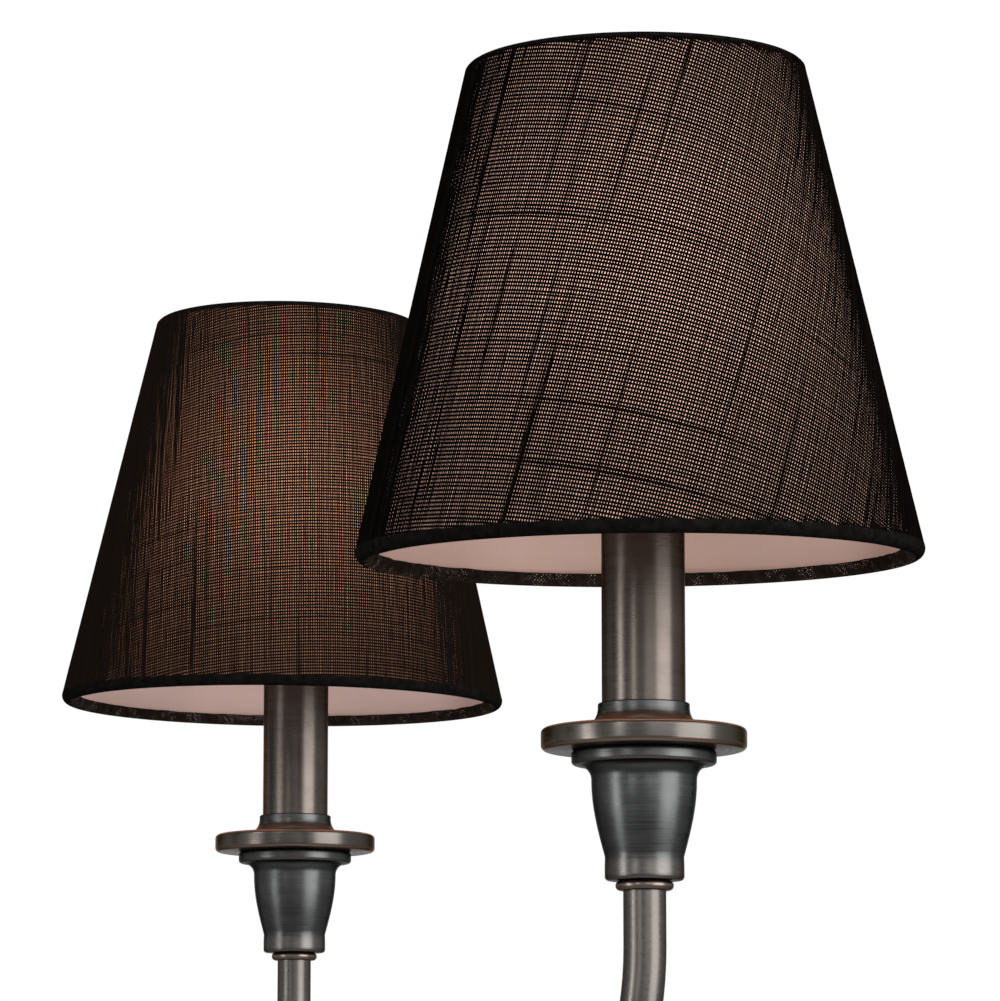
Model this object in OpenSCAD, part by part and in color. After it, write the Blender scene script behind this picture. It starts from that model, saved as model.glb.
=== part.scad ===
// Five-light chandelier with fabric clip-on shades, hung on a rod from a swivel under a ceiling canopy.
// Millimetres, +Z up. The origin is the centre of the mounting strap's top face, in the ceiling's plane.

/* [Layout] */
// Number of lamps round the hub
lamp_count = 5; // [3:1:6]
// Radius of the circle that the lamps stand on
lamp_circle_r = 265; // [255:1:340]
// Height of the ceiling above the cups' feet
drop = 430; // [420:1:700]

/* [Arms] */
// Outside diameter of an arm tube
arm_d = 9.5; // [8.8:0.1:11]
// Wall of an arm tube
arm_wall = 1.2; // [0.8:0.1:1.6]
// Straight length of arm below a cup's foot
arm_straight = 14.5; // [8:0.5:40]
// Radius of the arm's lower bend, at its centre line
arm_bend_r = 85; // [60:1:90]
// Angle at which the arm rises towards the hub
arm_rise = 55; // [25:1:60]
// Radius of the arm's upper bend, where it levels out
arm_return_r = 80; // [40:1:90]

/* [Cups] */
// Diameter of a cup's foot
cup_foot_d = 17.6; // [16.5:0.1:19]
// Largest diameter of a cup's bell
cup_body_d = 23.4; // [21:0.1:25]
// Diameter of the flange at a cup's rim
cup_flange_d = 32.2; // [30:0.1:40]
// Thickness of that flange
cup_flange_t = 3.2; // [2:0.1:4]
// Radius of the flange's rounded edges
cup_flange_edge_r = 0.9; // [0.4:0.1:1]
// Height of a cup
cup_h = 28.7; // [24:0.1:40]
// Height of the straight foot
cup_foot_h = 5.6; // [3:0.1:8]
// Wall of a cup
cup_wall = 1; // [0.7:0.1:1.5]
// Thickness of a cup's floor
cup_floor = 1.6; // [1:0.1:3]
// Diameter of the bead ring between arm and cup
ring_d = 12.9; // [12.2:0.1:16]
// Height of the bead ring
ring_h = 2.2; // [1.5:0.1:3.5]
// Outside diameter of a threaded nipple
nipple_d = 6.6; // [5.5:0.1:6.8]
// Bore of a nipple, for the wires
nipple_bore = 4; // [3:0.1:4.6]
// Length of nipple inside an arm
nipple_grip = 10; // [6:0.5:13]
// Width across the flats of a cup's lock nut
nut_af = 11; // [9.5:0.1:12]
// Height of a lock nut
nut_h = 4; // [2.5:0.1:6]

/* [Drip pans] */
// Diameter of a drip pan
pan_d = 45.7; // [42:0.1:60]
// Height of the pan's rim
pan_h = 5; // [4:0.1:8]
// Radius of the rounded rim
pan_edge_r = 1.2; // [0.8:0.1:2]
// Thickness of metal under the socket's foot
pan_floor = 2; // [1:0.1:3]
// Height of the collar above the pan's lower face
collar_h = 10.5; // [9.5:0.1:16]
// Outside diameter of the collar that holds the candle sleeve
collar_d = 20.4; // [20:0.1:23]
// Radius of the collar's flare
collar_flare_r = 4.6; // [2:0.1:5]
// Depth of the sleeve's seat in the collar
seat_depth = 3; // [1.5:0.1:4]

/* [Candle sleeves] */
// Outside diameter of a candle sleeve
sleeve_d = 18.6; // [17.5:0.1:18.8]
// Wall of a sleeve
sleeve_wall = 0.7; // [0.5:0.1:1]
// Length of a sleeve
sleeve_len = 68.9; // [60:0.1:72]

/* [Sockets and bulbs] */
// Diameter of a lamp socket's body
socket_d = 15.6; // [14.8:0.1:15.8]
// Length of the socket's body
socket_len = 30; // [24:0.5:36]
// Diameter of the socket's leg
leg_d = 11; // [9:0.1:13]
// How far the socket's mouth lies below the sleeve's top
socket_inset = 1; // [0.5:0.1:4]
// Diameter of a bulb's screw cap
cap_d = 11.7; // [11:0.1:12]
// Length of the screw cap inside the socket
cap_len = 16.5; // [12:0.5:18]
// Largest diameter of the bulb's glass
bulb_d = 30; // [26:0.5:32]
// Height of the glass above the cap
bulb_h = 66; // [60:1:70]
// Height of the glass below its widest place
bulb_low_h = 22; // [18:0.5:26]
// Diameter of the glass where it meets the cap
bulb_neck_d = 12.4; // [12.1:0.1:14]

/* [Shades] */
// Diameter over the lower edge of a shade
shade_bottom_d = 127; // [110:1:150]
// Diameter over the upper edge of a shade
shade_top_d = 77.2; // [60:0.1:100]
// Height of a shade
shade_h = 112.3; // [105:0.1:125]
// Height of the shade's lower edge above the cup's foot
shade_z = 71; // [66:0.1:76]
// Thickness of the cloth bonded to its lining
cloth_t = 0.8; // [0.5:0.1:1.2]
// Diameter of the wire in the shade's rings and spokes
wire_d = 2; // [1.6:0.1:2.6]
// Width of the lower hem inside the shade
hem_low_h = 2.8; // [2:0.1:6]
// Width of the upper hem inside the shade
hem_top_h = 1.6; // [1:0.1:4]
// Number of spokes that carry the upper ring
spoke_count = 3; // [3:1:4]
// Radius of the ring above the bulb that the spokes meet
eye_r = 11.2; // [10:0.1:13]
// Height of that ring above the bulb's widest place
eye_rise = 30; // [27:0.5:34]
// Diameter of the spring wire that grips the bulb
clip_wire_d = 1.6; // [1.2:0.1:2]
// Half the angle that each spring loop spans round the bulb
clip_half_angle = 20; // [12:1:25]
// Length of straight spring wire past the bulb's widest place
clip_tail = 7; // [4:0.5:12]

/* [Centre] */
// Outside diameter of the stem
stem_d = 12.7; // [11:0.1:13]
// Wall of the stem
stem_wall = 1.5; // [1:0.1:2.5]
// Diameter of the hub
hub_d = 38; // [36:0.5:44]
// Height of the hub
hub_h = 28; // [22:0.5:40]
// Wall of the hub
hub_wall = 3; // [2:0.1:4]
// Radius of the hub's upper edge
hub_edge_r = 2.4; // [1:0.1:2.4]
// Diameter of the bosses that the arms butt against
boss_d = 14; // [13:0.1:16]
// How far a boss stands out of the hub
boss_h = 4; // [3:0.1:8]
// Largest diameter of the bell under the hub
hub_bell_d = 27; // [24:0.1:32]
// Height of the bell under the hub
hub_bell_h = 30; // [26:0.5:44]
// Diameter of the finial's ball
finial_ball_d = 19; // [17.5:0.1:26]
// Depth of the stem's seat in the finial
finial_seat = 8; // [5:0.5:9]
// Length of the column tube
column_len = 150; // [80:1:150]
// Height of the column cap's bell
column_cap_bell_h = 20; // [14:0.5:30]

/* [Ceiling fitting] */
// Diameter of the canopy
canopy_d = 127; // [115:1:160]
// Height of the canopy
canopy_h = 25; // [20:0.5:30]
// Wall of the canopy
canopy_wall = 1.2; // [0.8:0.1:2]
// Height of the canopy's straight rim
canopy_rim_h = 4; // [2:0.5:8]
// Diameter of the flat at the canopy's foot
canopy_flat_d = 40; // [32:1:60]
// Length of the mounting strap
strap_len = 106; // [104:1:112]
// Width of the mounting strap
strap_w = 22; // [20:0.5:30]
// Thickness of the mounting strap
strap_t = 2; // [1.5:0.1:3]
// Distance between the strap's two slots
slot_spacing = 88.9; // [80:0.1:90]
// Width of a slot
slot_w = 4.6; // [4:0.1:5.5]
// Length of a slot, end to end
slot_len = 12; // [8:0.5:13]
// Diameter of the hanger stud
stud_d = 16; // [15:0.1:18]
// Diameter of the stud's flange under the strap
stud_flange_d = 24; // [20:0.5:26]
// Thickness of that flange
stud_flange_t = 2; // [1.5:0.1:4]
// Length of stud below the canopy's foot
stud_below = 8; // [7:0.1:12]
// Diameter of the ring that holds the canopy up
canopy_ring_d = 26; // [23:0.5:34]
// Height of the canopy ring
canopy_ring_h = 6; // [4:0.5:7]

/* [Swivel] */
// Diameter of the fork's shank, which turns in the stud
shank_d = 8.1; // [7:0.1:8.4]
// Diameter of the shank's head
shank_head_d = 10.6; // [10:0.1:11.2]
// Height of the shank's head
shank_head_h = 3; // [2:0.1:4]
// Depth of the stud's counterbore, whose floor the head rests on
counterbore_h = 9; // [6:0.5:12]
// Diameter of the fork's neck
fork_d = 23; // [22.6:0.1:25]
// Height of the fork's neck
fork_neck_h = 8; // [5:0.5:14]
// Width of the fork's cheeks
cheek_w = 16; // [14:0.5:16]
// Thickness of each cheek
cheek_t = 4; // [3:0.1:4.2]
// Thickness of the tongue between the cheeks
tongue_t = 7.4; // [6:0.1:7.4]
// Height of the fork's neck above the hinge pin
pin_drop = 14; // [12:0.5:20]
// Diameter of the hinge pin
pin_d = 6; // [4:0.1:7]
// Diameter of the hinge pin's heads
pin_head_d = 9.2; // [8.5:0.1:12]
// Thickness of the hinge pin's heads
pin_head_t = 1.4; // [1:0.1:3]
// Diameter of the tongue's socket for the stem
tongue_socket_d = 19; // [17:0.1:22]
// Length of the tongue's socket
tongue_socket_h = 18; // [15:0.5:26]
// Depth of the stem's seat in the tongue
stem_seat = 12; // [8:0.5:14]

/* [Clearances] */
// Gap round a piece that is fitted or screwed into another
fit = 0.1; // [0.05:0.01:0.15]
// Gap between pieces that move past each other
run = 0.3; // [0.2:0.05:0.4]
// Gap between the hinge pin or shank and its hole
pin_fit = 0.08; // [0.03:0.01:0.1]

/* [Hidden] */
$fn = 96;
overshoot = 1;
curve_steps = 12;

// How each shade sits on its bulb: lean in degrees, direction of the axis it leans about, and shift
shade_sits = [
    [2.4, 11.5, [-0.3, -2.9]],
    [0.8, -13, [-0.4, 3.8]],
    [0.8, 40, [0.6, -0.8]],
    [0.6, 200, [-0.7, 0.4]],
    [1.1, 100, [0.5, 0.9]],
];

lamp_step = 360 / lamp_count;
lamp_z = -drop;

// Arm's centre line in its own upright plane, measured from the hub's axis and the cup's foot
bend_centre_r = lamp_circle_r - arm_bend_r;
return_centre_r = bend_centre_r - (arm_bend_r + arm_return_r) * sin(arm_rise);
return_centre_z = -arm_straight - (arm_bend_r + arm_return_r) * cos(arm_rise);
hub_level = return_centre_z + arm_return_r;
hub_face_r = hub_d / 2 + boss_h;

// Levels up the lamp, measured from the cup's foot
pan_z = cup_h;
cavity_z = pan_z + pan_floor;
seat_z = pan_z + collar_h - seat_depth;
sleeve_top = seat_z + sleeve_len;
socket_top = sleeve_top - socket_inset;
nipple_top = cavity_z + socket_len / 4;
sleeve_r = sleeve_d / 2;
ledge_r = sleeve_r - 1.2;
cap_bottom = socket_top - cap_len;
contact_h = 1.2;
contact_d = 4;
glass_z = socket_top + 0.6;
bulb_wide_z = glass_z + bulb_low_h;
bulb_tip_z = glass_z + bulb_h;
bulb_tip_rise = bulb_tip_z - bulb_wide_z;
bulb_ogive_r = (pow(bulb_d / 2, 2) + pow(bulb_tip_rise, 2)) / bulb_d;

// Shade's wall, drawn from the lower ring's centre along the slope
wire_r = wire_d / 2;
hem_in_r = wire_r + run;
hem_out_r = hem_in_r + cloth_t;
low_ring_r = shade_bottom_d / 2 - hem_out_r;
low_ring_z = shade_z + hem_out_r;
top_ring_r = shade_top_d / 2 - hem_out_r;
top_ring_z = shade_z + shade_h - hem_out_r;
wall_rise = top_ring_z - low_ring_z;
wall_draft = atan2(low_ring_r - top_ring_r, wall_rise);
wall_len = wall_rise / cos(wall_draft);
eye_z = bulb_wide_z + eye_rise;
notch_w = wire_d + 1.4;
notch_reach = wire_d * 2.5;

// Spring loop, parallel to the glass
clip_r = bulb_d / 2 + run + clip_wire_d / 2;
clip_top_rise = eye_rise - 4;
clip_arc_r = (pow(clip_r - eye_r, 2) + pow(clip_top_rise, 2)) / (2 * (clip_r - eye_r));
clip_arc_angle = asin(clip_top_rise / clip_arc_r);
clip_bend_z = eye_z - clip_top_rise;
clip_end_z = bulb_wide_z - clip_tail;
clip_loops = [60, 240];
clip_bead_d = clip_wire_d * 1.15;
clip_bar_d = clip_wire_d * 0.9;
spoke_d = wire_d * 0.9;

// Levels of the centre, measured from the ceiling
hub_z = lamp_z + hub_level;
hub_top = hub_z + hub_h / 2;
hub_foot = hub_z - hub_h / 2;
bell_foot = hub_foot - hub_bell_h;
stem_r = stem_d / 2;
stem_bottom = bell_foot - finial_seat;
column_bottom = hub_top + collar_h - seat_depth;
column_top = column_bottom + column_len;
stud_bottom = -canopy_h - stud_below;
fork_top = stud_bottom - run;
fork_bottom = fork_top - fork_neck_h;
pin_z = fork_bottom - pin_drop;
tongue_socket_top = pin_z - pin_drop;
stem_top = tongue_socket_top - tongue_socket_h + stem_seat;
cheek_gap = tongue_t + 2 * run;

// Points of an arc in the plane, from one angle to another
function arc(centre, r, from, to, steps = curve_steps) =
    [for (i = [0:steps]) let (a = from + (to - from) * i / steps) centre + r * [cos(a), sin(a)]];

function reversed(v) = [for (i = [len(v) - 1:-1:0]) v[i]];

// Half profile of a bell that widens from its foot to its shoulder
function bell_curve(foot_r, body_r, low, high, steps = curve_steps) =
    [for (i = [0:steps]) [foot_r + (body_r - foot_r) * sin(90 * i / steps), low + (high - low) * i / steps]];

// Vector turned about a level axis
function leaned(v, angle, axis) =
    v * cos(angle) + cross(axis, v) * sin(angle) + axis * (axis * v) * (1 - cos(angle));

function sit(i) = shade_sits[(i - 1) % len(shade_sits)];
function sit_axis(i) = [cos(sit(i)[1]), sin(sit(i)[1]), 0];
function sit_shift(i) = [sit(i)[2][0], sit(i)[2][1], 0];

// Place of a point of shade i after the shade has settled on its bulb
function settled(i, p) =
    leaned(p - [0, 0, eye_z], sit(i)[0], sit_axis(i)) + [0, 0, eye_z] + sit_shift(i);

module round_arm() {
    for (i = [1:lamp_count]) rotate([0, 0, lamp_step * (i - 1)]) children();
}

module at_lamp(i) {
    rotate([0, 0, lamp_step * (i - 1)]) translate([lamp_circle_r, 0, lamp_z]) children();
}

module at_lamps() {
    for (i = [1:lamp_count]) at_lamp(i) children();
}

module settle(i) {
    translate(sit_shift(i) + [0, 0, eye_z]) rotate(a = sit(i)[0], v = sit_axis(i)) translate([0, 0, -eye_z])
        children();
}

module tube(outer_d, bore_d, h) {
    difference() {
        cylinder(d = outer_d, h = h);
        translate([0, 0, -overshoot]) cylinder(d = bore_d, h = h + 2 * overshoot);
    }
}

module rod(from, to, d) {
    run_v = to - from;
    translate(from) rotate([0, acos(run_v[2] / norm(run_v)), atan2(run_v[1], run_v[0])])
        cylinder(d = d, h = norm(run_v));
}

// Part of a round bar bent to a radius in the upright plane through the X axis
module bent_bar(d, bend_r, from, turn) {
    rotate([90, 0, 0]) rotate([0, 0, from]) rotate_extrude(angle = turn) translate([bend_r, 0]) circle(d = d);
}

// Solid swept along an arm, lengthened at both ends
module arm_sweep(d, extra) {
    translate([lamp_circle_r, 0, -arm_straight]) cylinder(d = d, h = arm_straight - ring_h + extra);
    translate([bend_centre_r, 0, -arm_straight]) bent_bar(d, arm_bend_r, -90 - arm_rise, 90 + arm_rise);
    translate([return_centre_r, 0, return_centre_z]) bent_bar(d, arm_return_r, 90 - arm_rise, arm_rise);
    translate([hub_face_r - extra, 0, hub_level]) rotate([0, 90, 0])
        cylinder(d = d, h = return_centre_r - hub_face_r + extra);
}

// Outer edge of a flange from its lower face to its upper one
function flange_edge(rim_r, low_z) = concat(
    arc([rim_r - cup_flange_edge_r, low_z + cup_flange_edge_r], cup_flange_edge_r, -90, 0, 5),
    arc([rim_r - cup_flange_edge_r, low_z + cup_flange_t - cup_flange_edge_r], cup_flange_edge_r, 0, 90, 5)
);

// Hollow bell with a foot, a flange at its rim and a hole in its floor, standing on its foot
module bell_shell(foot_d, body_d, flange_d, h, hole_d) {
    foot_edge = cup_wall * 0.8;
    fillet_r = cup_flange_t;
    shoulder = h - cup_flange_t - fillet_r;
    rotate_extrude() difference() {
        polygon(concat(
            [[0, 0]],
            arc([foot_d / 2 - foot_edge, foot_edge], foot_edge, -90, 0, 4),
            bell_curve(foot_d / 2, body_d / 2, cup_foot_h, shoulder),
            arc([body_d / 2 + fillet_r, shoulder], fillet_r, 180, 90, 6),
            flange_edge(flange_d / 2, h - cup_flange_t),
            [[0, h]]
        ));
        polygon(concat(
            [[0, cup_floor], [foot_d / 2 - cup_wall, cup_floor]],
            bell_curve(foot_d / 2 - cup_wall, body_d / 2 - cup_wall, cup_foot_h, shoulder),
            [[body_d / 2 - cup_wall, h + overshoot], [0, h + overshoot]]
        ));
        translate([0, -overshoot]) square([hole_d / 2, cup_floor + 2 * overshoot]);
    }
}

// Turned pan with a flared collar that seats a tube, and a hole in its floor
module collared_pan(hole_d) {
    collar_r = collar_d / 2;
    flare_top = collar_h - seat_depth / 2;
    rim_r = pan_d / 2;
    rotate_extrude() difference() {
        polygon(concat(
            [[0, 0]],
            arc([rim_r - pan_edge_r, pan_edge_r], pan_edge_r, -90, 0, 6),
            arc([rim_r - pan_edge_r, pan_h - pan_edge_r], pan_edge_r, 0, 90, 6),
            arc([collar_r + collar_flare_r, flare_top], collar_flare_r, 270, 180, 8),
            [[collar_r, collar_h], [0, collar_h]]
        ));
        translate([0, pan_floor]) square([ledge_r, collar_h]);
        translate([0, collar_h - seat_depth]) square([sleeve_r + fit, seat_depth + overshoot]);
        translate([0, -overshoot]) square([hole_d / 2, pan_floor + 2 * overshoot]);
    }
}

module mounting_strap() {
    color([0.55, 0.56, 0.57]) difference() {
        translate([-strap_len / 2, -strap_w / 2, -strap_t]) cube([strap_len, strap_w, strap_t]);
        translate([0, 0, -strap_t - overshoot]) {
            cylinder(d = stud_d + 2 * fit, h = strap_t + 2 * overshoot);
            for (side = [-1, 1]) translate([side * slot_spacing / 2, 0, 0]) {
                for (end = [-1, 1]) translate([end * (slot_len - slot_w) / 2, 0, 0])
                    cylinder(d = slot_w, h = strap_t + 2 * overshoot);
                translate([-(slot_len - slot_w) / 2, -slot_w / 2, 0])
                    cube([slot_len - slot_w, slot_w, strap_t + 2 * overshoot]);
            }
        }
    }
}

module hanger_stud() {
    color([0.55, 0.56, 0.57]) difference() {
        union() {
            translate([0, 0, stud_bottom]) cylinder(d = stud_d, h = -stud_bottom);
            translate([0, 0, -strap_t - stud_flange_t]) cylinder(d = stud_flange_d, h = stud_flange_t);
        }
        translate([0, 0, stud_bottom - overshoot]) cylinder(d = shank_d + 2 * pin_fit, h = -stud_bottom);
        translate([0, 0, -counterbore_h]) cylinder(d = shank_head_d + 2 * run, h = counterbore_h + overshoot);
    }
}

// Dome of the canopy: a straight rim, then a quarter ellipse down to the flat
function canopy_curve(inset) =
    let (flat_r = canopy_flat_d / 2)
    let (span = canopy_d / 2 - inset - flat_r)
    let (depth = canopy_h - canopy_rim_h - inset)
    [for (i = [0:curve_steps]) let (a = 90 * i / curve_steps)
        [flat_r + span * cos(a), -canopy_rim_h - depth * sin(a)]];

module canopy() {
    color([0.27, 0.24, 0.22]) rotate_extrude() difference() {
        polygon(concat([[0, 0], [canopy_d / 2, 0]], canopy_curve(0), [[0, -canopy_h]]));
        polygon(concat(
            [[0, overshoot], [canopy_d / 2 - canopy_wall, overshoot]],
            canopy_curve(canopy_wall),
            [[0, -canopy_h + canopy_wall]]
        ));
        translate([0, -canopy_h - overshoot]) square([stud_d / 2 + run, canopy_wall + 2 * overshoot]);
    }
}

module canopy_ring() {
    edge_r = canopy_ring_h / 2;
    color([0.30, 0.27, 0.25]) translate([0, 0, -canopy_h - canopy_ring_h]) rotate_extrude() difference() {
        union() {
            translate([canopy_ring_d / 2 - edge_r, edge_r]) circle(r = edge_r);
            square([canopy_ring_d / 2 - edge_r, canopy_ring_h]);
        }
        translate([-canopy_ring_d, -overshoot])
            square([canopy_ring_d + stud_d / 2 + fit, canopy_ring_h + 2 * overshoot]);
    }
}

module swivel_fork() {
    color([0.30, 0.27, 0.25]) difference() {
        union() {
            translate([0, 0, -counterbore_h]) cylinder(d = shank_head_d, h = shank_head_h);
            translate([0, 0, fork_top]) cylinder(d = shank_d, h = -counterbore_h - fork_top);
            translate([0, 0, fork_bottom]) cylinder(d = fork_d, h = fork_neck_h);
            for (side = [-1, 1]) translate([0, side * (cheek_gap + cheek_t) / 2, 0]) {
                translate([-cheek_w / 2, -cheek_t / 2, pin_z]) cube([cheek_w, cheek_t, pin_drop]);
                translate([0, cheek_t / 2, pin_z]) rotate([90, 0, 0]) cylinder(d = cheek_w, h = cheek_t);
            }
        }
        translate([0, cheek_gap, pin_z]) rotate([90, 0, 0]) cylinder(d = pin_d + 2 * pin_fit, h = 2 * cheek_gap);
    }
}

module swivel_pin() {
    grip = cheek_gap + 2 * cheek_t;
    color([0.45, 0.42, 0.40]) translate([0, 0, pin_z]) rotate([90, 0, 0]) {
        translate([0, 0, -grip / 2]) cylinder(d = pin_d, h = grip);
        translate([0, 0, grip / 2]) cylinder(d = pin_head_d, h = pin_head_t);
        translate([0, 0, -grip / 2 - pin_head_t]) cylinder(d = pin_head_d, h = pin_head_t);
    }
}

module swivel_tongue() {
    eye_d = cheek_w - 4 * run;
    web_w = cheek_w * 0.7;
    color([0.30, 0.27, 0.25]) difference() {
        union() {
            translate([0, tongue_t / 2, pin_z]) rotate([90, 0, 0]) cylinder(d = eye_d, h = tongue_t);
            translate([-web_w / 2, -tongue_t / 2, tongue_socket_top]) cube([web_w, tongue_t, pin_drop]);
            translate([0, 0, tongue_socket_top - tongue_socket_h])
                cylinder(d = tongue_socket_d, h = tongue_socket_h);
        }
        translate([0, tongue_t, pin_z]) rotate([90, 0, 0]) cylinder(d = pin_d + 2 * pin_fit, h = 2 * tongue_t);
        translate([0, 0, stem_top - stem_seat - overshoot])
            cylinder(d = stem_d + 2 * fit, h = stem_seat + overshoot);
    }
}

module stem() {
    color([0.30, 0.27, 0.25]) translate([0, 0, stem_bottom])
        tube(stem_d, stem_d - 2 * stem_wall, stem_top - stem_bottom);
}

module column_cap() {
    collar_r = collar_d / 2;
    flange_r = cup_flange_d / 2;
    flange_z = seat_depth + collar_flare_r;
    bell_z = flange_z + cup_flange_t;
    cap_h = bell_z + column_cap_bell_h;
    color([0.27, 0.26, 0.25]) translate([0, 0, column_top - seat_depth]) rotate_extrude() difference() {
        polygon(concat(
            [[0, 0], [collar_r, 0]],
            arc([collar_r + collar_flare_r, seat_depth], collar_flare_r, 180, 90, 8),
            flange_edge(flange_r, flange_z),
            reversed(bell_curve(cup_foot_d / 2, cup_body_d / 2, cap_h, bell_z)),
            [[0, cap_h]]
        ));
        translate([0, -overshoot]) square([sleeve_r + fit, seat_depth + overshoot]);
        square([stem_r + fit, cap_h + overshoot]);
    }
}

module column_tube() {
    color([0.36, 0.33, 0.31]) translate([0, 0, column_bottom])
        tube(sleeve_d, sleeve_d - 2 * sleeve_wall, column_len);
}

module column_pan() {
    color([0.29, 0.25, 0.22]) translate([0, 0, hub_top]) collared_pan(stem_d + 2 * fit);
}

module hub_body() {
    outer_r = hub_d / 2;
    color([0.27, 0.26, 0.25]) translate([0, 0, hub_z]) difference() {
        union() {
            translate([0, 0, -hub_h / 2]) rotate_extrude() polygon(concat(
                [[0, 0], [outer_r, 0]],
                arc([outer_r - hub_edge_r, hub_h - hub_edge_r], hub_edge_r, 0, 90, 6),
                [[0, hub_h]]
            ));
            round_arm() rotate([0, 90, 0]) cylinder(d = boss_d, h = hub_face_r);
        }
        translate([0, 0, -hub_h / 2 - overshoot])
            cylinder(d = hub_d - 2 * hub_wall, h = hub_h - hub_wall + overshoot);
        cylinder(d = stem_d + 2 * fit, h = hub_h);
        round_arm() rotate([0, 90, 0]) cylinder(d = nipple_d + 2 * fit, h = hub_face_r + overshoot);
    }
}

module hub_bell() {
    color([0.27, 0.26, 0.25]) translate([0, 0, bell_foot])
        bell_shell(cup_foot_d, hub_bell_d, hub_d, hub_bell_h, stem_d + 2 * fit);
}

module hub_finial() {
    ball_r = finial_ball_d / 2;
    bead_h = ring_h;
    ball_z = -bead_h - sqrt(pow(ball_r, 2) - pow(cup_foot_d / 2 - bead_h, 2));
    color([0.30, 0.27, 0.25]) translate([0, 0, bell_foot]) difference() {
        union() {
            translate([0, 0, -bead_h]) rotate_extrude() {
                translate([cup_foot_d / 2 - bead_h / 2, bead_h / 2]) circle(d = bead_h);
                square([cup_foot_d / 2 - bead_h / 2, bead_h]);
            }
            translate([0, 0, ball_z]) sphere(r = ball_r);
            translate([0, 0, ball_z - ball_r]) sphere(r = bead_h);
        }
        translate([0, 0, -finial_seat]) cylinder(d = stem_d + 2 * fit, h = finial_seat + overshoot);
    }
}

module neck_rings() {
    bore_r = nipple_d / 2 + fit;
    color([0.31, 0.28, 0.26]) at_lamps() translate([0, 0, -ring_h]) rotate_extrude() {
        translate([(ring_d - ring_h) / 2, ring_h / 2]) circle(d = ring_h);
        translate([bore_r, 0]) square([(ring_d - ring_h) / 2 - bore_r, ring_h]);
    }
}

module arm_nipples() {
    color([0.62, 0.55, 0.35]) {
        at_lamps() translate([0, 0, -ring_h - nipple_grip])
            tube(nipple_d, nipple_bore, nipple_top + ring_h + nipple_grip);
        translate([0, 0, hub_z]) round_arm() translate([hub_face_r - boss_h - hub_wall, 0, 0]) rotate([0, 90, 0])
            tube(nipple_d, nipple_bore, boss_h + hub_wall + nipple_grip);
    }
}

module cup_nuts() {
    color([0.62, 0.55, 0.35]) at_lamps() translate([0, 0, cup_floor]) difference() {
        cylinder(d = nut_af / cos(30), h = nut_h, $fn = 6);
        translate([0, 0, -overshoot]) cylinder(d = nipple_d + 2 * fit, h = nut_h + 2 * overshoot);
    }
}

module lamp_sockets() {
    mouth_d = cap_d + 2 * run;
    color([0.12, 0.11, 0.10]) at_lamps() difference() {
        union() {
            translate([0, 0, cavity_z]) cylinder(d = leg_d, h = socket_top - socket_len - cavity_z);
            translate([0, 0, socket_top - socket_len]) cylinder(d = socket_d, h = socket_len);
        }
        translate([0, 0, cavity_z - overshoot])
            cylinder(d = nipple_d + 2 * fit, h = nipple_top - cavity_z + 2 * overshoot);
        translate([0, 0, cap_bottom - contact_h - run])
            cylinder(d = mouth_d, h = cap_len + contact_h + run + overshoot);
    }
}

module arm(i) {
    color([0.33, 0.29, 0.27]) rotate([0, 0, lamp_step * (i - 1)]) translate([0, 0, lamp_z]) difference() {
        arm_sweep(arm_d, 0);
        arm_sweep(arm_d - 2 * arm_wall, overshoot);
    }
}

module cup(i) {
    color([0.25, 0.25, 0.24]) at_lamp(i)
        bell_shell(cup_foot_d, cup_body_d, cup_flange_d, cup_h, nipple_d + 2 * fit);
}

module drip_pan(i) {
    color([0.29, 0.25, 0.22]) at_lamp(i) translate([0, 0, pan_z]) collared_pan(nipple_d + 2 * fit);
}

module candle_sleeve(i) {
    color([0.36, 0.33, 0.31]) at_lamp(i) translate([0, 0, seat_z])
        tube(sleeve_d, sleeve_d - 2 * sleeve_wall, sleeve_len);
}

// Glass of a candle bulb: an easy swell from the cap, then a pointed arch to the tip
function glass_low() = [for (i = [0:curve_steps]) let (t = i / curve_steps)
    [bulb_neck_d / 2 + (bulb_d - bulb_neck_d) / 4 * (1 - cos(180 * t)), glass_z + bulb_low_h * t]];

function glass_high() =
    arc([bulb_d / 2 - bulb_ogive_r, bulb_wide_z], bulb_ogive_r, 0, asin(bulb_tip_rise / bulb_ogive_r));

module bulb(i) {
    color([0.95, 0.92, 0.86]) at_lamp(i) rotate_extrude() polygon(concat(
        [[0, cap_bottom - contact_h], [contact_d / 2, cap_bottom - contact_h], [contact_d / 2, cap_bottom]],
        [[cap_d / 2, cap_bottom], [cap_d / 2, glass_z]],
        glass_low(),
        [for (k = [1:curve_steps - 1]) glass_high()[k]],
        [[0, bulb_tip_z]]
    ));
}

// Half profile of a shade's wall with the cloth turned in over both rings
module shade_wall() {
    translate([low_ring_r, low_ring_z]) rotate(wall_draft) {
        translate([hem_in_r, 0]) square([cloth_t, wall_len]);
        for (hem = [[0, hem_low_h, 0], [wall_len, hem_top_h, 1]]) translate([0, hem[0]]) mirror([0, hem[2]]) {
            difference() {
                circle(r = hem_out_r);
                circle(r = hem_in_r);
                translate([-2 * hem_out_r, 0]) square(4 * hem_out_r);
            }
            translate([-hem_out_r, 0]) square([cloth_t, hem[1]]);
        }
    }
}

module shade_cover(i) {
    color([0.17, 0.14, 0.12]) at_lamp(i) settle(i) difference() {
        rotate_extrude() shade_wall();
        for (k = [1:spoke_count]) rotate([0, 0, 360 / spoke_count * k])
            translate([top_ring_r - notch_reach, -notch_w / 2, top_ring_z - notch_reach])
                cube([notch_reach, notch_w, notch_reach + wire_r]);
    }
}

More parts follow.
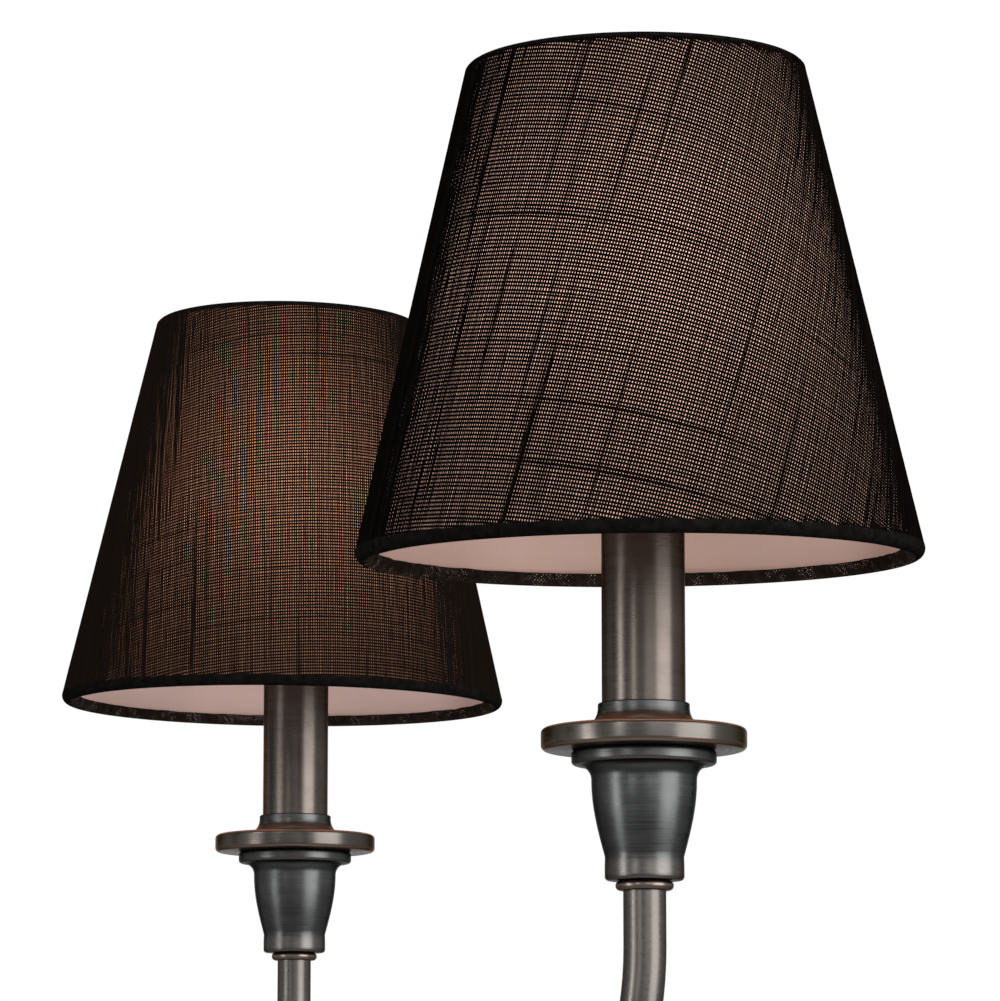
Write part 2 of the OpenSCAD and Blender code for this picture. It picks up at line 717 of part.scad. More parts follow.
module shade_spider(i) {
    color([0.70, 0.62, 0.45]) at_lamp(i) {
        settle(i) translate([0, 0, top_ring_z]) rotate_extrude() translate([top_ring_r, 0]) circle(d = wire_d);
        for (k = [1:spoke_count]) let (a = 360 / spoke_count * k)
            rod([eye_r * cos(a), eye_r * sin(a), eye_z],
                settled(i, [top_ring_r * cos(a), top_ring_r * sin(a), top_ring_z]), spoke_d);
        translate([0, 0, eye_z]) rotate_extrude() translate([eye_r, 0]) circle(d = wire_d);
        for (loop = clip_loops) rotate([0, 0, loop]) spring_loop();
    }
}

// One spring loop: two bowed prongs joined by a bar under the bulb's widest place
module spring_loop() {
    for (side = [-1, 1]) rotate([0, 0, side * clip_half_angle]) {
        translate([clip_r - clip_arc_r, 0, clip_bend_z]) bent_bar(clip_wire_d, clip_arc_r, 0, clip_arc_angle);
        translate([clip_r, 0, clip_end_z]) {
            cylinder(d = clip_wire_d, h = clip_bend_z - clip_end_z);
            sphere(d = clip_bead_d);
        }
    }
    translate([0, 0, clip_end_z]) rotate([0, 0, -clip_half_angle]) rotate_extrude(angle = 2 * clip_half_angle)
        translate([clip_r, 0]) circle(d = clip_bar_d);
}

module shade_ring(i) {
    color([0.70, 0.62, 0.45]) at_lamp(i) settle(i) translate([0, 0, low_ring_z]) rotate_extrude()
        translate([low_ring_r, 0]) circle(d = wire_d);
}

mounting_strap();
hanger_stud();
canopy();
canopy_ring();
swivel_fork();
swivel_pin();
swivel_tongue();
stem();
column_cap();
column_tube();
column_pan();
hub_body();
hub_bell();
hub_finial();
neck_rings();
arm_nipples();
cup_nuts();
lamp_sockets();
for (i = [1:lamp_count]) {
    arm(i);
    cup(i);
    drip_pan(i);
    candle_sleeve(i);
    bulb(i);
    shade_cover(i);
    shade_spider(i);
    shade_ring(i);
}
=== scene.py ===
"""Dressed model of a five-light chandelier with clip-on cloth shades, and the studio that shows it.

Sizes are in millimetres, as in the part's source, and turn into metres where a mesh is made. A lamp is drawn
upright about its own axis from the foot of its cup, and then put in its place round the hub.
"""

import logging
import math
from dataclasses import dataclass, field
from enum import Enum
from itertools import accumulate
from typing import Any, Callable, Sequence

import bmesh
import bpy
from bpy.types import Material, MeshPolygon, Node, NodeSocket, NodeTree, Object
from mathutils import Matrix, Vector, noise


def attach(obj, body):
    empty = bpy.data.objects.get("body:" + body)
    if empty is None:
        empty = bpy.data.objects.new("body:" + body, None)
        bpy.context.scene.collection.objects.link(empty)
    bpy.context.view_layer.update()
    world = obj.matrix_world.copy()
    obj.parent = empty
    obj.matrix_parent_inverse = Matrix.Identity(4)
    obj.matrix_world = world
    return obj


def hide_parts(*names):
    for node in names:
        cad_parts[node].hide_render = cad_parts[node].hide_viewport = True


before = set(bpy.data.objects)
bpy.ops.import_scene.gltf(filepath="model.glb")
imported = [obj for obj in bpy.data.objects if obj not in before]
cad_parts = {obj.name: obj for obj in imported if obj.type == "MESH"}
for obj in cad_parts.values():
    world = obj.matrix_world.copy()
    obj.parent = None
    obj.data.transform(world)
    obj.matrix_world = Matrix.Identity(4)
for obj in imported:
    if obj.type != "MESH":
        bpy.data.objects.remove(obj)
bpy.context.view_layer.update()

LOG = logging.getLogger("chandelier")
MM = 0.001
TURNING_UV = "turning"
CONTRAST = (0.3, 0.7)
SAME_PLACE = 1e-8
Colour = tuple[float, float, float]
Point2 = tuple[float, float]
Materials = dict[str, Material]


class Grain(Enum):
    """How a metal's surface lines run."""

    TURNED = "turned"
    SATIN = "satin"


class Run(Enum):
    """Which way a set of threads runs in the flat cloth."""

    WARP = False
    WEFT = True


class TreeKind(Enum):
    """What a tree of nodes makes."""

    SHADER = "ShaderNodeTree"
    GEOMETRY = "GeometryNodeTree"


class Wire:
    """An output of a node, which takes part in arithmetic as a number does."""

    def __init__(self, work: "NodeWork", socket: NodeSocket) -> None:
        """Keeps the output and the work on its tree."""
        self.work, self.socket = work, socket

    def __add__(self, other: Any) -> "Wire":
        """Returns this plus another."""
        return self.work.math("ADD", self, other)

    def __sub__(self, other: Any) -> "Wire":
        """Returns this less another."""
        return self.work.math("SUBTRACT", self, other)

    def __rsub__(self, other: float) -> "Wire":
        """Returns a number less this."""
        return self.work.math("SUBTRACT", other, self)

    def __mul__(self, other: Any) -> "Wire":
        """Returns this times another."""
        return self.work.math("MULTIPLY", self, other)

    def __truediv__(self, other: Any) -> "Wire":
        """Returns this over another."""
        return self.work.math("DIVIDE", self, other)

    def __rtruediv__(self, other: float) -> "Wire":
        """Returns a number over this."""
        return self.work.math("DIVIDE", other, self)

    def __neg__(self) -> "Wire":
        """Returns this with its sign changed."""
        return self * -1.0


class NodeWork:
    """Adds nodes to one tree, and sets or links their inputs."""

    def __init__(self, tree: NodeTree) -> None:
        """Keeps the tree to work on."""
        self.tree = tree

    def feed(self, node: Node, inputs: dict[Any, Any]) -> None:
        """Sets or links inputs of a node.

        Args:
            node: the node.
            inputs: a wire or a plain value for each input, by name or number.
        """
        for key, value in inputs.items():
            socket = node.inputs[key]
            if isinstance(value, Wire):
                self.tree.links.new(value.socket, socket)
            else:
                socket.default_value = (*value, 1.0) if socket.type == "RGBA" else value

    def node(self, kind: str, inputs: dict[Any, Any] | None = None, **settings: Any) -> Node:
        """Makes a node.

        Args:
            kind: Blender's name for the node's type.
            inputs: a wire or a plain value for each input, by name or number.
            settings: the node's own settings.

        Returns:
            The node.
        """
        node = self.tree.nodes.new(kind)
        for name, value in settings.items():
            setattr(node, name, value)
        self.feed(node, inputs or {})
        return node

    def outputs(self, node: Node) -> dict[str, Wire]:
        """Returns a node's outputs by name."""
        return {socket.name: Wire(self, socket) for socket in node.outputs}

    def wire(self, kind: str, inputs: dict[Any, Any] | None = None, output: Any = 0, **settings: Any) -> Wire:
        """Makes a node and returns the output of the given name or number."""
        return Wire(self, self.node(kind, inputs, **settings).outputs[output])

    def math(self, operation: str, *values: Any) -> Wire:
        """Returns the result of a Math node."""
        return self.wire("ShaderNodeMath", dict(enumerate(values)), operation=operation)

    def turn(self, angle: Wire) -> tuple[Wire, Wire]:
        """Returns an angle's cosine and sine."""
        return self.math("COSINE", angle), self.math("SINE", angle)

    def clamp(self, value: Wire, low: Any, high: Any) -> Wire:
        """Returns a number held between two limits."""
        return self.math("MINIMUM", self.math("MAXIMUM", value, low), high)

    def combine(self, x: Any, y: Any, z: Any = 0.0) -> Wire:
        """Returns a vector of three numbers."""
        return self.wire("ShaderNodeCombineXYZ", {0: x, 1: y, 2: z})

    def split(self, vector: Wire) -> list[Wire]:
        """Returns the three numbers of a vector."""
        return list(self.outputs(self.node("ShaderNodeSeparateXYZ", {0: vector})).values())

    def spread(self, value: Wire, low: Any, high: Any, to_low: Any = 0.0, to_high: Any = 1.0) -> Wire:
        """Returns a number mapped from one span to another, clamped."""
        return self.wire("ShaderNodeMapRange", {0: value, 1: low, 2: high, 3: to_low, 4: to_high})

    def blend(self, factor: Wire, first: Any, second: Any) -> Wire:
        """Returns a mix of two colours."""
        return self.wire("ShaderNodeMix", {0: factor, 6: first, 7: second}, 2, data_type="RGBA")

    def cloud(self, place: Wire, scale: Any = 1.0, detail: float = 2.0, roughness: float = 0.5) -> Wire:
        """Returns noise about a half."""
        given = {"Vector": place, "Scale": scale, "Detail": detail, "Roughness": roughness}
        return self.wire("ShaderNodeTexNoise", given)

    def bump(self, height: Wire, strength: float, distance: float) -> Wire:
        """Returns a normal that follows a height."""
        return self.wire("ShaderNodeBump", {"Height": height, "Strength": strength, "Distance": distance})

    def attribute(self, name: str) -> Wire:
        """Returns a number that the mesh keeps at its points."""
        return self.wire("ShaderNodeAttribute", output="Fac", attribute_name=name)

    def object_place(self) -> Wire:
        """Returns the place on the piece, in its own axes."""
        return self.wire("ShaderNodeTexCoord", output="Object")

    def turning_place(self) -> Wire:
        """Returns the place on the unrolled surface, in metres."""
        return self.wire("ShaderNodeUVMap", uv_map=TURNING_UV)

    def group(self, tree: NodeTree, inputs: dict[str, Any]) -> dict[str, Wire]:
        """Places a shader group and returns its outputs by name."""
        return self.outputs(self.node("ShaderNodeGroup", inputs, node_tree=tree))

    def row(self, count: Wire, start: Wire, step: Wire) -> Wire:
        """Returns a line of points."""
        given = {"Count": count, "Start Location": start, "Offset": step}
        return self.wire("GeometryNodeMeshLine", given, mode="OFFSET")

    def stored(self, geometry: Wire, name: str, value: Wire) -> Wire:
        """Returns geometry that keeps a number at its points."""
        given = {"Geometry": geometry, "Name": name, "Value": value}
        return self.wire("GeometryNodeStoreNamedAttribute", given, data_type="FLOAT", domain="POINT")

    def moved(self, geometry: Wire, position: Wire) -> Wire:
        """Returns geometry with its points moved."""
        return self.wire("GeometryNodeSetPosition", {"Geometry": geometry, "Position": position})

    def either(self, test: Wire, if_true: Wire, if_false: Wire) -> Wire:
        """Returns one of two vectors."""
        given = {"Switch": test, "False": if_false, "True": if_true}
        return self.wire("GeometryNodeSwitch", given, input_type="VECTOR")


def open_tree(
    name: str, kind: TreeKind, inputs: dict[str, Sequence[str]], outputs: dict[str, Sequence[str]]
) -> tuple[NodeWork, dict[str, Wire], Node]:
    """Starts a tree with named inputs and outputs.

    Args:
        name: the tree's name.
        kind: what it makes.
        inputs: names of the inputs of each socket type.
        outputs: names of the outputs of each socket type.

    Returns:
        The work on the tree, its inputs and its output node.
    """
    tree = bpy.data.node_groups.new(name, kind.value)
    for way, sockets in (("INPUT", inputs), ("OUTPUT", outputs)):
        for socket_type, labels in sockets.items():
            for label in labels:
                tree.interface.new_socket(name=label, in_out=way, socket_type=f"NodeSocket{socket_type}")
    work = NodeWork(tree)
    return work, work.outputs(work.node("NodeGroupInput")), work.node("NodeGroupOutput")


class ShaderGroups:
    """Shader node groups that several finishes share."""

    def __init__(self) -> None:
        """Builds the groups once."""
        self.turned_lines = self._turned_lines()
        self.cloth_mottle = self._cloth_mottle()

    def _turned_lines(self) -> NodeTree:
        """Makes fine lines along the first axis of a vector, with a soft tarnish over them.

        Returns:
            The group's tree.
        """
        work, take, end = open_tree(
            "turned_lines", TreeKind.SHADER,
            {"Vector": ["Vector"], "Float": ["Line Length", "Line Width", "Tarnish Size"]},
            {"Float": ["Lines", "Tarnish"]},
        )
        place, width = take["Vector"], take["Line Width"]
        x, y, z = work.split(place)
        fine = work.cloud(work.combine(x / take["Line Length"], y / width, z / width), detail=3.0, roughness=0.6)
        tarnish = work.cloud(place, scale=1.0 / take["Tarnish Size"], detail=4.0, roughness=0.55)
        work.feed(end, {"Lines": work.spread(fine, *CONTRAST), "Tarnish": work.spread(tarnish, *CONTRAST)})
        return work.tree

    def _cloth_mottle(self) -> NodeTree:
        """Makes a fine weave and a soft unevenness for dense cloth, from a flat vector in metres.

        Returns:
            The group's tree.
        """
        work, take, end = open_tree(
            "cloth_mottle", TreeKind.SHADER, {"Vector": ["Vector"], "Float": ["Thread Pitch"]},
            {"Float": ["Weave", "Unevenness"]},
        )
        turns = math.tau / take["Thread Pitch"]
        x, y, _ = work.split(take["Vector"])
        weave = work.math("SINE", x * turns) * work.math("SINE", y * turns) * 0.5 + 0.5
        uneven = work.spread(work.cloud(take["Vector"], scale=400.0, detail=4.0), *CONTRAST)
        work.feed(end, {"Weave": weave, "Unevenness": uneven})
        return work.tree


GROUPS = ShaderGroups()


@dataclass(frozen=True)
class Finish:
    """A surface, as a Principled shader."""

    name: str

    def sockets(self, work: NodeWork) -> dict[str, Any]:
        """Returns what goes into the shader's inputs."""
        raise NotImplementedError

    def material(self) -> Material:
        """Makes the finish.

        Returns:
            The material.
        """
        material = bpy.data.materials.new(self.name)
        material.use_nodes = True
        work = NodeWork(material.node_tree)
        work.feed(work.tree.nodes["Principled BSDF"], self.sockets(work))
        return material


@dataclass(frozen=True)
class MetalFinish(Finish):
    """Plated metal with fine lines, soft tarnish, and edges in a rubbed colour that is partly worn plating and partly
    painted highlight and reflection.
    """

    deep: Colour
    pale: Colour
    worn_and_lit: Colour
    grazing: Colour
    smooth: float
    rough: float
    grain: Grain = Grain.TURNED
    brushed: float = 0.5
    line_length: float = 0.03
    line_width: float = 0.00022
    tarnish_size: float = 0.008
    relief: float = 0.12
    line_depth: float = 0.00003
    line_share: float = 0.6
    worn_and_lit_least: float = 0.55

    def sockets(self, work: NodeWork) -> dict[str, Any]:
        """Returns what goes into the shader's inputs.

        Args:
            work: the work on the material's tree.

        Returns:
            A wire or a value for each input.
        """
        fed: dict[str, Any] = {"Metallic": 1.0, "Anisotropic": 0.0, "Anisotropic Rotation": 0.25}
        if self.grain is Grain.TURNED:
            place = work.turning_place()
            fed["Tangent"] = work.wire("ShaderNodeTangent", direction_type="UV_MAP", uv_map=TURNING_UV)
            fed["Anisotropic"] = self.brushed
        else:
            place = work.object_place()
        sizes = {"Line Length": self.line_length, "Line Width": self.line_width, "Tarnish Size": self.tarnish_size}
        group = work.group(GROUPS.turned_lines, {"Vector": place} | sizes)
        lines = group["Lines"]
        mixed = lines * self.line_share + group["Tarnish"] * (1.0 - self.line_share)
        base = work.blend(mixed, self.deep, self.pale)
        # Worn plating and painted highlights and reflections share one colour, laid where the outline marks them.
        worn_and_lit_mask = work.attribute("rub") * work.spread(lines, 0.0, 1.0, self.worn_and_lit_least, 1.0)
        return fed | {
            "Base Color": work.blend(worn_and_lit_mask, base, self.worn_and_lit),
            "Roughness": work.spread(lines, 0.0, 1.0, self.smooth, self.rough),
            "Normal": work.bump(lines, self.relief, self.line_depth),
            "Specular Tint": self.grazing,
        }


@dataclass(frozen=True)
class ThreadFinish(Finish):
    """Loosely spun yarn of one dark colour, a little different from thread to thread, with a faint painted glow where
    one is given, standing in for light coming through it.
    """

    dark: Colour
    light: Colour
    glow: Colour = (0.0, 0.0, 0.0)
    strength: float = 0.0
    fuzz_share: float = 0.4
    tone_share: float = 0.7

    def sockets(self, work: NodeWork) -> dict[str, Any]:
        """Returns what goes into the shader's inputs.

        Args:
            work: the work on the material's tree.

        Returns:
            A wire or a value for each input.
        """
        fuzz = work.cloud(work.object_place(), scale=2500.0, detail=2.0)
        mixed = fuzz * self.fuzz_share + work.attribute("tone") * self.tone_share
        return {
            "Base Color": work.blend(mixed, self.dark, self.light),
            "Normal": work.bump(fuzz, strength=0.4, distance=0.00005),
            "Roughness": 0.85,
            "Specular IOR Level": 0.0,
            "Emission Color": self.glow,
            "Emission Strength": self.strength,
        }


@dataclass(frozen=True)
class HemFinish(Finish):
    """Dense doubled cloth of the turned-in edges, with a colour in the gaps of its weave: dark on the outer band,
    painted light on the inner lip.
    """

    dark: Colour
    light: Colour
    gap: Colour
    pitch: float = 0.0009
    gap_weave: Point2 = (0.80, 0.98)
    patch: float = 170.0
    patch_noise: Point2 = (0.50, 0.62)
    speck: float = 1300.0
    speck_noise: Point2 = (0.46, 0.60)

    def sockets(self, work: NodeWork) -> dict[str, Any]:
        """Returns what goes into the shader's inputs.

        Args:
            work: the work on the material's tree.

        Returns:
            A wire or a value for each input.
        """
        place = work.turning_place()
        cloth = work.group(GROUPS.cloth_mottle, {"Vector": place, "Thread Pitch": self.pitch})
        patches = work.spread(work.cloud(place, scale=self.patch, detail=2.0), *self.patch_noise)
        specks = work.spread(work.cloud(place, scale=self.speck, detail=1.0), *self.speck_noise)
        gaps = work.spread(cloth["Weave"], *self.gap_weave) * (patches * specks)
        base = work.blend(cloth["Unevenness"], self.dark, self.light)
        return {
            "Base Color": work.blend(gaps, base, self.gap),
            "Normal": work.bump(cloth["Weave"], strength=0.6, distance=0.00012),
            "Roughness": 0.85,
            "Specular IOR Level": 0.0,
        }


@dataclass(frozen=True)
class LiningFinish(Finish):
    """Smooth pale lining with a painted glow that stands in for the bulb's light through it; the glow falls to the
    edge share where the bulb is far.
    """

    low: Colour
    high: Colour
    glow: Colour
    strength: float
    edge: float = 1.0
    tone_noise: Point2 = (0.35, 0.65)

    def sockets(self, work: NodeWork) -> dict[str, Any]:
        """Returns what goes into the shader's inputs.

        Args:
            work: the work on the material's tree.

        Returns:
            A wire or a value for each input.
        """
        place = work.object_place()
        tone = work.spread(work.cloud(place, scale=55.0, detail=5.0), *self.tone_noise)
        far_glow = tuple(part * self.edge for part in self.glow)
        return {
            "Base Color": work.blend(tone, self.low, self.high),
            "Normal": work.bump(work.cloud(place, scale=900.0, detail=3.0), strength=0.15, distance=0.0001),
            "Roughness": 0.7,
            "Emission Color": work.blend(work.attribute("rub"), far_glow, self.glow),
            "Emission Strength": self.strength,
        }


@dataclass(frozen=True)
class PlainFinish(Finish):
    """Moulded plastic, or frosted glass that may glow."""

    base: Colour
    pale: Colour
    roughness: float
    glow: Colour = (0.0, 0.0, 0.0)
    strength: float = 0.0

    def sockets(self, work: NodeWork) -> dict[str, Any]:
        """Returns what goes into the shader's inputs.

        Args:
            work: the work on the material's tree.

        Returns:
            A wire or a value for each input.
        """
        grain = work.cloud(work.object_place(), scale=700.0, detail=3.0)
        return {
            "Base Color": work.blend(grain, self.base, self.pale),
            "Normal": work.bump(grain, strength=0.1, distance=0.00005),
            "Roughness": self.roughness,
            "Emission Color": self.glow,
            "Emission Strength": self.strength,
        }


@dataclass(frozen=True)
class FloorFinish(Finish):
    """Pale matt floor."""

    def sockets(self, work: NodeWork) -> dict[str, Any]:
        """Returns what goes into the shader's inputs."""
        grain = work.wire("ShaderNodeTexNoise", {"Scale": 3.0, "Detail": 2.0})
        return {"Base Color": work.blend(grain, (0.82, 0.82, 0.82), (0.85, 0.85, 0.85)), "Roughness": 0.9}


# A metal's four colours are where it is deep, pale, rubbed (partly worn plating, partly painted highlight and
# reflection) and seen at a grazing angle.
FINISHES: dict[str, Finish] = {
    "sleeve": MetalFinish(
        "brushed_bronze_sleeve", (0.052, 0.0435, 0.0385), (0.090, 0.077, 0.069), (0.13, 0.10, 0.085),
        (0.36, 0.34, 0.33), smooth=0.24, rough=0.40, brushed=0.6, relief=0.18,
    ),
    # On the pan the rubbed colour is a painted reflection of the lit lining, a bright copper line along the rim's
    # top.
    "pan": MetalFinish(
        "copper_bronze_pan", (0.050, 0.0455, 0.041), (0.080, 0.073, 0.066), (0.85, 0.50, 0.34),
        (0.34, 0.32, 0.30), smooth=0.22, rough=0.36,
    ),
    "gunmetal": MetalFinish(
        "gunmetal_cup", (0.033, 0.0338, 0.0337), (0.068, 0.0692, 0.0688), (0.15, 0.125, 0.105),
        (0.32, 0.32, 0.32), smooth=0.25, rough=0.41, brushed=0.2, relief=0.28,
    ),
    # The satin metal's rubbed colour paints copper glints on its rounded edges, with some worn plating.
    "satin": MetalFinish(
        "satin_bronze_turned", (0.056, 0.050, 0.046), (0.086, 0.078, 0.071), (0.30, 0.205, 0.155),
        (0.40, 0.38, 0.37), smooth=0.26, rough=0.40, brushed=0.4,
    ),
    "tube": MetalFinish(
        "satin_bronze_tube", (0.058, 0.0525, 0.0485), (0.078, 0.0715, 0.066), (0.12, 0.10, 0.085),
        (0.40, 0.38, 0.37), smooth=0.26, rough=0.38, grain=Grain.SATIN, line_length=0.004, line_width=0.0006,
        relief=0.02,
    ),
    "zinc": MetalFinish(
        "zinc_plate", (0.42, 0.43, 0.45), (0.52, 0.53, 0.55), (0.60, 0.60, 0.60), (0.8, 0.8, 0.8),
        smooth=0.30, rough=0.45, grain=Grain.SATIN, line_length=0.003, line_width=0.001, relief=0.05,
    ),
    "brass": MetalFinish(
        "machined_brass", (0.55, 0.40, 0.17), (0.66, 0.50, 0.24), (0.75, 0.60, 0.32), (0.9, 0.8, 0.6),
        smooth=0.22, rough=0.38, grain=Grain.SATIN, line_length=0.003, line_width=0.0004, relief=0.05,
    ),
    "wire": MetalFinish(
        "brass_plated_wire", (0.50, 0.38, 0.20), (0.62, 0.50, 0.29), (0.7, 0.6, 0.4), (0.9, 0.8, 0.6),
        smooth=0.25, rough=0.40, grain=Grain.SATIN, line_length=0.003, line_width=0.0004, relief=0.05,
    ),
    "plastic": PlainFinish("black_phenolic", (0.010, 0.009, 0.008), (0.022, 0.020, 0.018), roughness=0.45),
    "glass": PlainFinish(
        "frosted_bulb_glass", (0.40, 0.37, 0.32), (0.46, 0.43, 0.38), roughness=0.35, glow=(1.0, 0.84, 0.66),
        strength=0.10,
    ),
    "cap": MetalFinish(
        "nickel_bulb_cap", (0.50, 0.48, 0.44), (0.60, 0.58, 0.54), (0.7, 0.68, 0.64), (0.9, 0.9, 0.9),
        smooth=0.22, rough=0.36, brushed=0.2,
    ),
    "thread": ThreadFinish("dark_yarn", (0.0010, 0.0008, 0.0007), (0.0038, 0.0029, 0.0024)),
    # A copy with a warm painted glow for lamp 2, standing in for light through the yarn.
    "warm_painted_glow_thread": ThreadFinish(
        "dark_yarn_lit_through", (0.0010, 0.0008, 0.0007), (0.0038, 0.0029, 0.0024), glow=(0.0050, 0.0030, 0.0023),
        strength=1.0,
    ),
    "hem": HemFinish(
        "doubled_dark_cloth", (0.0022, 0.0022, 0.0021), (0.0064, 0.0060, 0.0054), (0.011, 0.010, 0.009)
    ),
    # The inner lip is painted lighter and warmer as if lit from inside, and its gap colour paints bright specks of
    # light through the cloth.
    "lip": HemFinish(
        "turned_in_dark_cloth", (0.0095, 0.0064, 0.0052), (0.0240, 0.0172, 0.0140), (0.95, 0.76, 0.64)
    ),
    # The linings' glows are painted light from the bulb: a faint one on the inner face, a strong one on the outer
    # face that shows through the weave, and a warmer outer and dimmer inner copy for lamp 2.
    "lining": LiningFinish(
        "beige_lining", (0.465, 0.318, 0.262), (0.495, 0.342, 0.304), (0.475, 0.325, 0.278), strength=0.335
    ),
    "painted_glow_lining": LiningFinish(
        "lit_beige_lining", (0.16, 0.115, 0.095), (0.20, 0.145, 0.12), (0.98, 0.60, 0.457), strength=1.46, edge=0.37
    ),
    "dim_painted_glow_lining": LiningFinish(
        "dim_beige_lining", (0.50, 0.36, 0.325), (0.54, 0.39, 0.355), (0.50, 0.36, 0.325), strength=0.31
    ),
    "warm_painted_glow_lining": LiningFinish(
        "warm_lit_lining", (0.14, 0.080, 0.055), (0.18, 0.105, 0.070), (0.933, 0.434, 0.246), strength=1.4, edge=0.0
    ),
}


@dataclass
class Profile:
    """Half outline of a turned piece: points (r, z) in millimetres, and a share for each one: on metal it marks worn
    plating and painted highlight, on a lining the level of its painted glow.
    """

    points: list[Point2] = field(default_factory=list)
    worn_and_lit: list[float] = field(default_factory=list)

    def to(self, r: float, z: float, rub: float = 0.0) -> "Profile":
        """Goes straight to a point, and returns the profile."""
        self.points.append((r, z))
        self.worn_and_lit.append(rub)
        return self

    def arc(
        self, r: float, z: float, radius: float, start: float, end: float, rub: float = 0.0, steps: int = 8
    ) -> "Profile":
        """Goes round an arc.

        Args:
            r: radius of the arc's centre from the axis.
            z: height of the arc's centre.
            radius: the arc's own radius.
            start: first angle, in degrees.
            end: last angle, in degrees.
            rub: share of worn plating and painted highlight at the middle of the arc.
            steps: number of straight pieces.

        Returns:
            The profile.
        """
        for i in range(steps + 1):
            angle = math.radians(start + (end - start) * i / steps)
            wear_and_light_level = rub * math.sin(math.pi * i / steps)
            self.to(r + radius * math.cos(angle), z + radius * math.sin(angle), wear_and_light_level)
        return self

    def swell(self, first: Point2, last: Point2, steps: int = 20) -> "Profile":
        """Goes up a bell's side, which widens less and less.

        Args:
            first: the narrow foot.
            last: the wide shoulder.
            steps: number of straight pieces.

        Returns:
            The profile.
        """
        for i in range(steps + 1):
            t = i / steps
            share = math.sin(math.pi / 2 * t)
            self.to(first[0] + (last[0] - first[0]) * share, first[1] + (last[1] - first[1]) * t)
        return self


def shown(obj: Object) -> Object:
    """Puts an object in the scene and returns it."""
    bpy.context.scene.collection.objects.link(obj)
    return obj


def around(r: float, angle: float, z: float) -> Vector:
    """Returns a point at an angle round the Z axis, in metres."""
    return Vector((r * math.cos(angle) * MM, r * math.sin(angle) * MM, z * MM))


def run_lengths(points: Sequence[Point2]) -> list[float]:
    """Returns how far each point of a closed outline is along it, and its whole length, in metres."""
    sides = (math.dist(a, b) * MM for a, b in zip(points, [*points[1:], points[0]]))
    return list(accumulate(sides, initial=0.0))


def skin(
    name: str, rows: Sequence[Sequence[Vector]], uv_at: Callable[[int, int], Point2],
    materials: Sequence[Material], worn_and_lit: Sequence[float] = (), ends: bool = False, sharp: float = 40.0,
) -> Object:
    """Makes a closed mesh over rows of points, each of which closes on itself.

    Args:
        name: the piece's name.
        rows: the points, in metres.
        uv_at: place in the pattern of a row and a column, which may be one past the last.
        materials: the piece's materials; every face takes the first.
        worn_and_lit: each row's share, if it is kept: worn plating and painted highlight on metal, painted glow on a
            lining.
        ends: whether the first and last rows are closed by flat ends, and not joined to each other.
        sharp: angle over which an edge is sharp, in degrees, or 0 for flat faces.

    Returns:
        The piece, in the scene.
    """
    bm = bmesh.new()
    uv = bm.loops.layers.uv.new(TURNING_UV)
    rub = bm.verts.layers.float.new("rub") if worn_and_lit else None
    grid = [[bm.verts.new(point) for point in row] for row in rows]
    for wear_and_light_level, row in zip(worn_and_lit, grid):
        for vert in row:
            vert[rub] = wear_and_light_level
    for i in range(len(rows) - ends):
        low, high = grid[i], grid[(i + 1) % len(rows)]
        if all((row[0].co - row[1].co).length < SAME_PLACE for row in (low, high)):
            continue  # Both rows are points on the axis.
        for j in range(len(low)):
            after = (j + 1) % len(low)
            face = bm.faces.new((low[j], low[after], high[after], high[j]))
            face.smooth = sharp > 0
            for corner, place in zip(face.loops, ((i, j), (i, j + 1), (i + 1, j + 1), (i + 1, j))):
                corner[uv].uv = uv_at(*place)
    for row in (grid[0], grid[-1]) if ends else ():
        bm.faces.new(row)
    bmesh.ops.remove_doubles(bm, verts=bm.verts, dist=SAME_PLACE)
    bmesh.ops.recalc_face_normals(bm, faces=bm.faces)
    mesh = bpy.data.meshes.new(name)
    bm.to_mesh(mesh)
    bm.free()
    if sharp:
        mesh.set_sharp_from_angle(angle=math.radians(sharp))
    for material in materials:
        mesh.materials.append(material)
    return shown(bpy.data.objects.new(name, mesh))


def revolve(
    name: str, profile: Profile, materials: Sequence[Material], segments: int = 160, seam: float = 0.0
) -> Object:
    """Turns a closed profile about the Z axis.

    Args:
        name: the piece's name.
        profile: its half outline, closed from the last point to the first.
        materials: the piece's materials; every face takes the first.
        segments: number of flats round the axis.
        seam: angle of the pattern's seam, in degrees.

    Returns:
        The piece, upright about the frame's Z axis.
    """
    angles = [math.radians(seam) + math.tau * k / segments for k in range(segments)]
    rows = [[around(r, angle, z) for angle in angles] for r, z in profile.points]
    lengths = run_lengths(profile.points)
    girth = math.tau * max(r for r, _ in profile.points) * MM
    return skin(name, rows, lambda row, k: (girth * k / segments, lengths[row]), materials, profile.worn_and_lit)


def second_material(piece: Object, where: Callable[[MeshPolygon], bool]) -> None:
    """Gives a piece's second material to the faces that pass a test."""
    for face in piece.data.polygons:
        face.material_index = int(where(face))


def outward(face: MeshPolygon) -> float:
    """Returns a number that is positive where a face looks away from the Z axis."""
    return face.normal.x * face.center.x + face.normal.y * face.center.y


def grown(name: str, tree: NodeTree, values: dict[str, Any]) -> Object:
    """Runs a tree of geometry nodes once, and keeps its result as a plain mesh.

    Args:
        name: the piece's name.
        tree: the tree.
        values: value of each of the tree's inputs, by name.

    Returns:
        The piece, with no modifier left.
    """
    piece = shown(bpy.data.objects.new(name, bpy.data.meshes.new(name)))
    modifier = piece.modifiers.new("grow", "NODES")
    modifier.node_group = tree
    for item in tree.interface.items_tree:
        if item.in_out == "INPUT":
            modifier[item.identifier] = values[item.name]
    evaluated = piece.evaluated_get(bpy.context.evaluated_depsgraph_get())
    mesh = bpy.data.meshes.new_from_object(evaluated)
    piece.modifiers.clear()
    piece.data = mesh
    mesh.name = name
    return piece


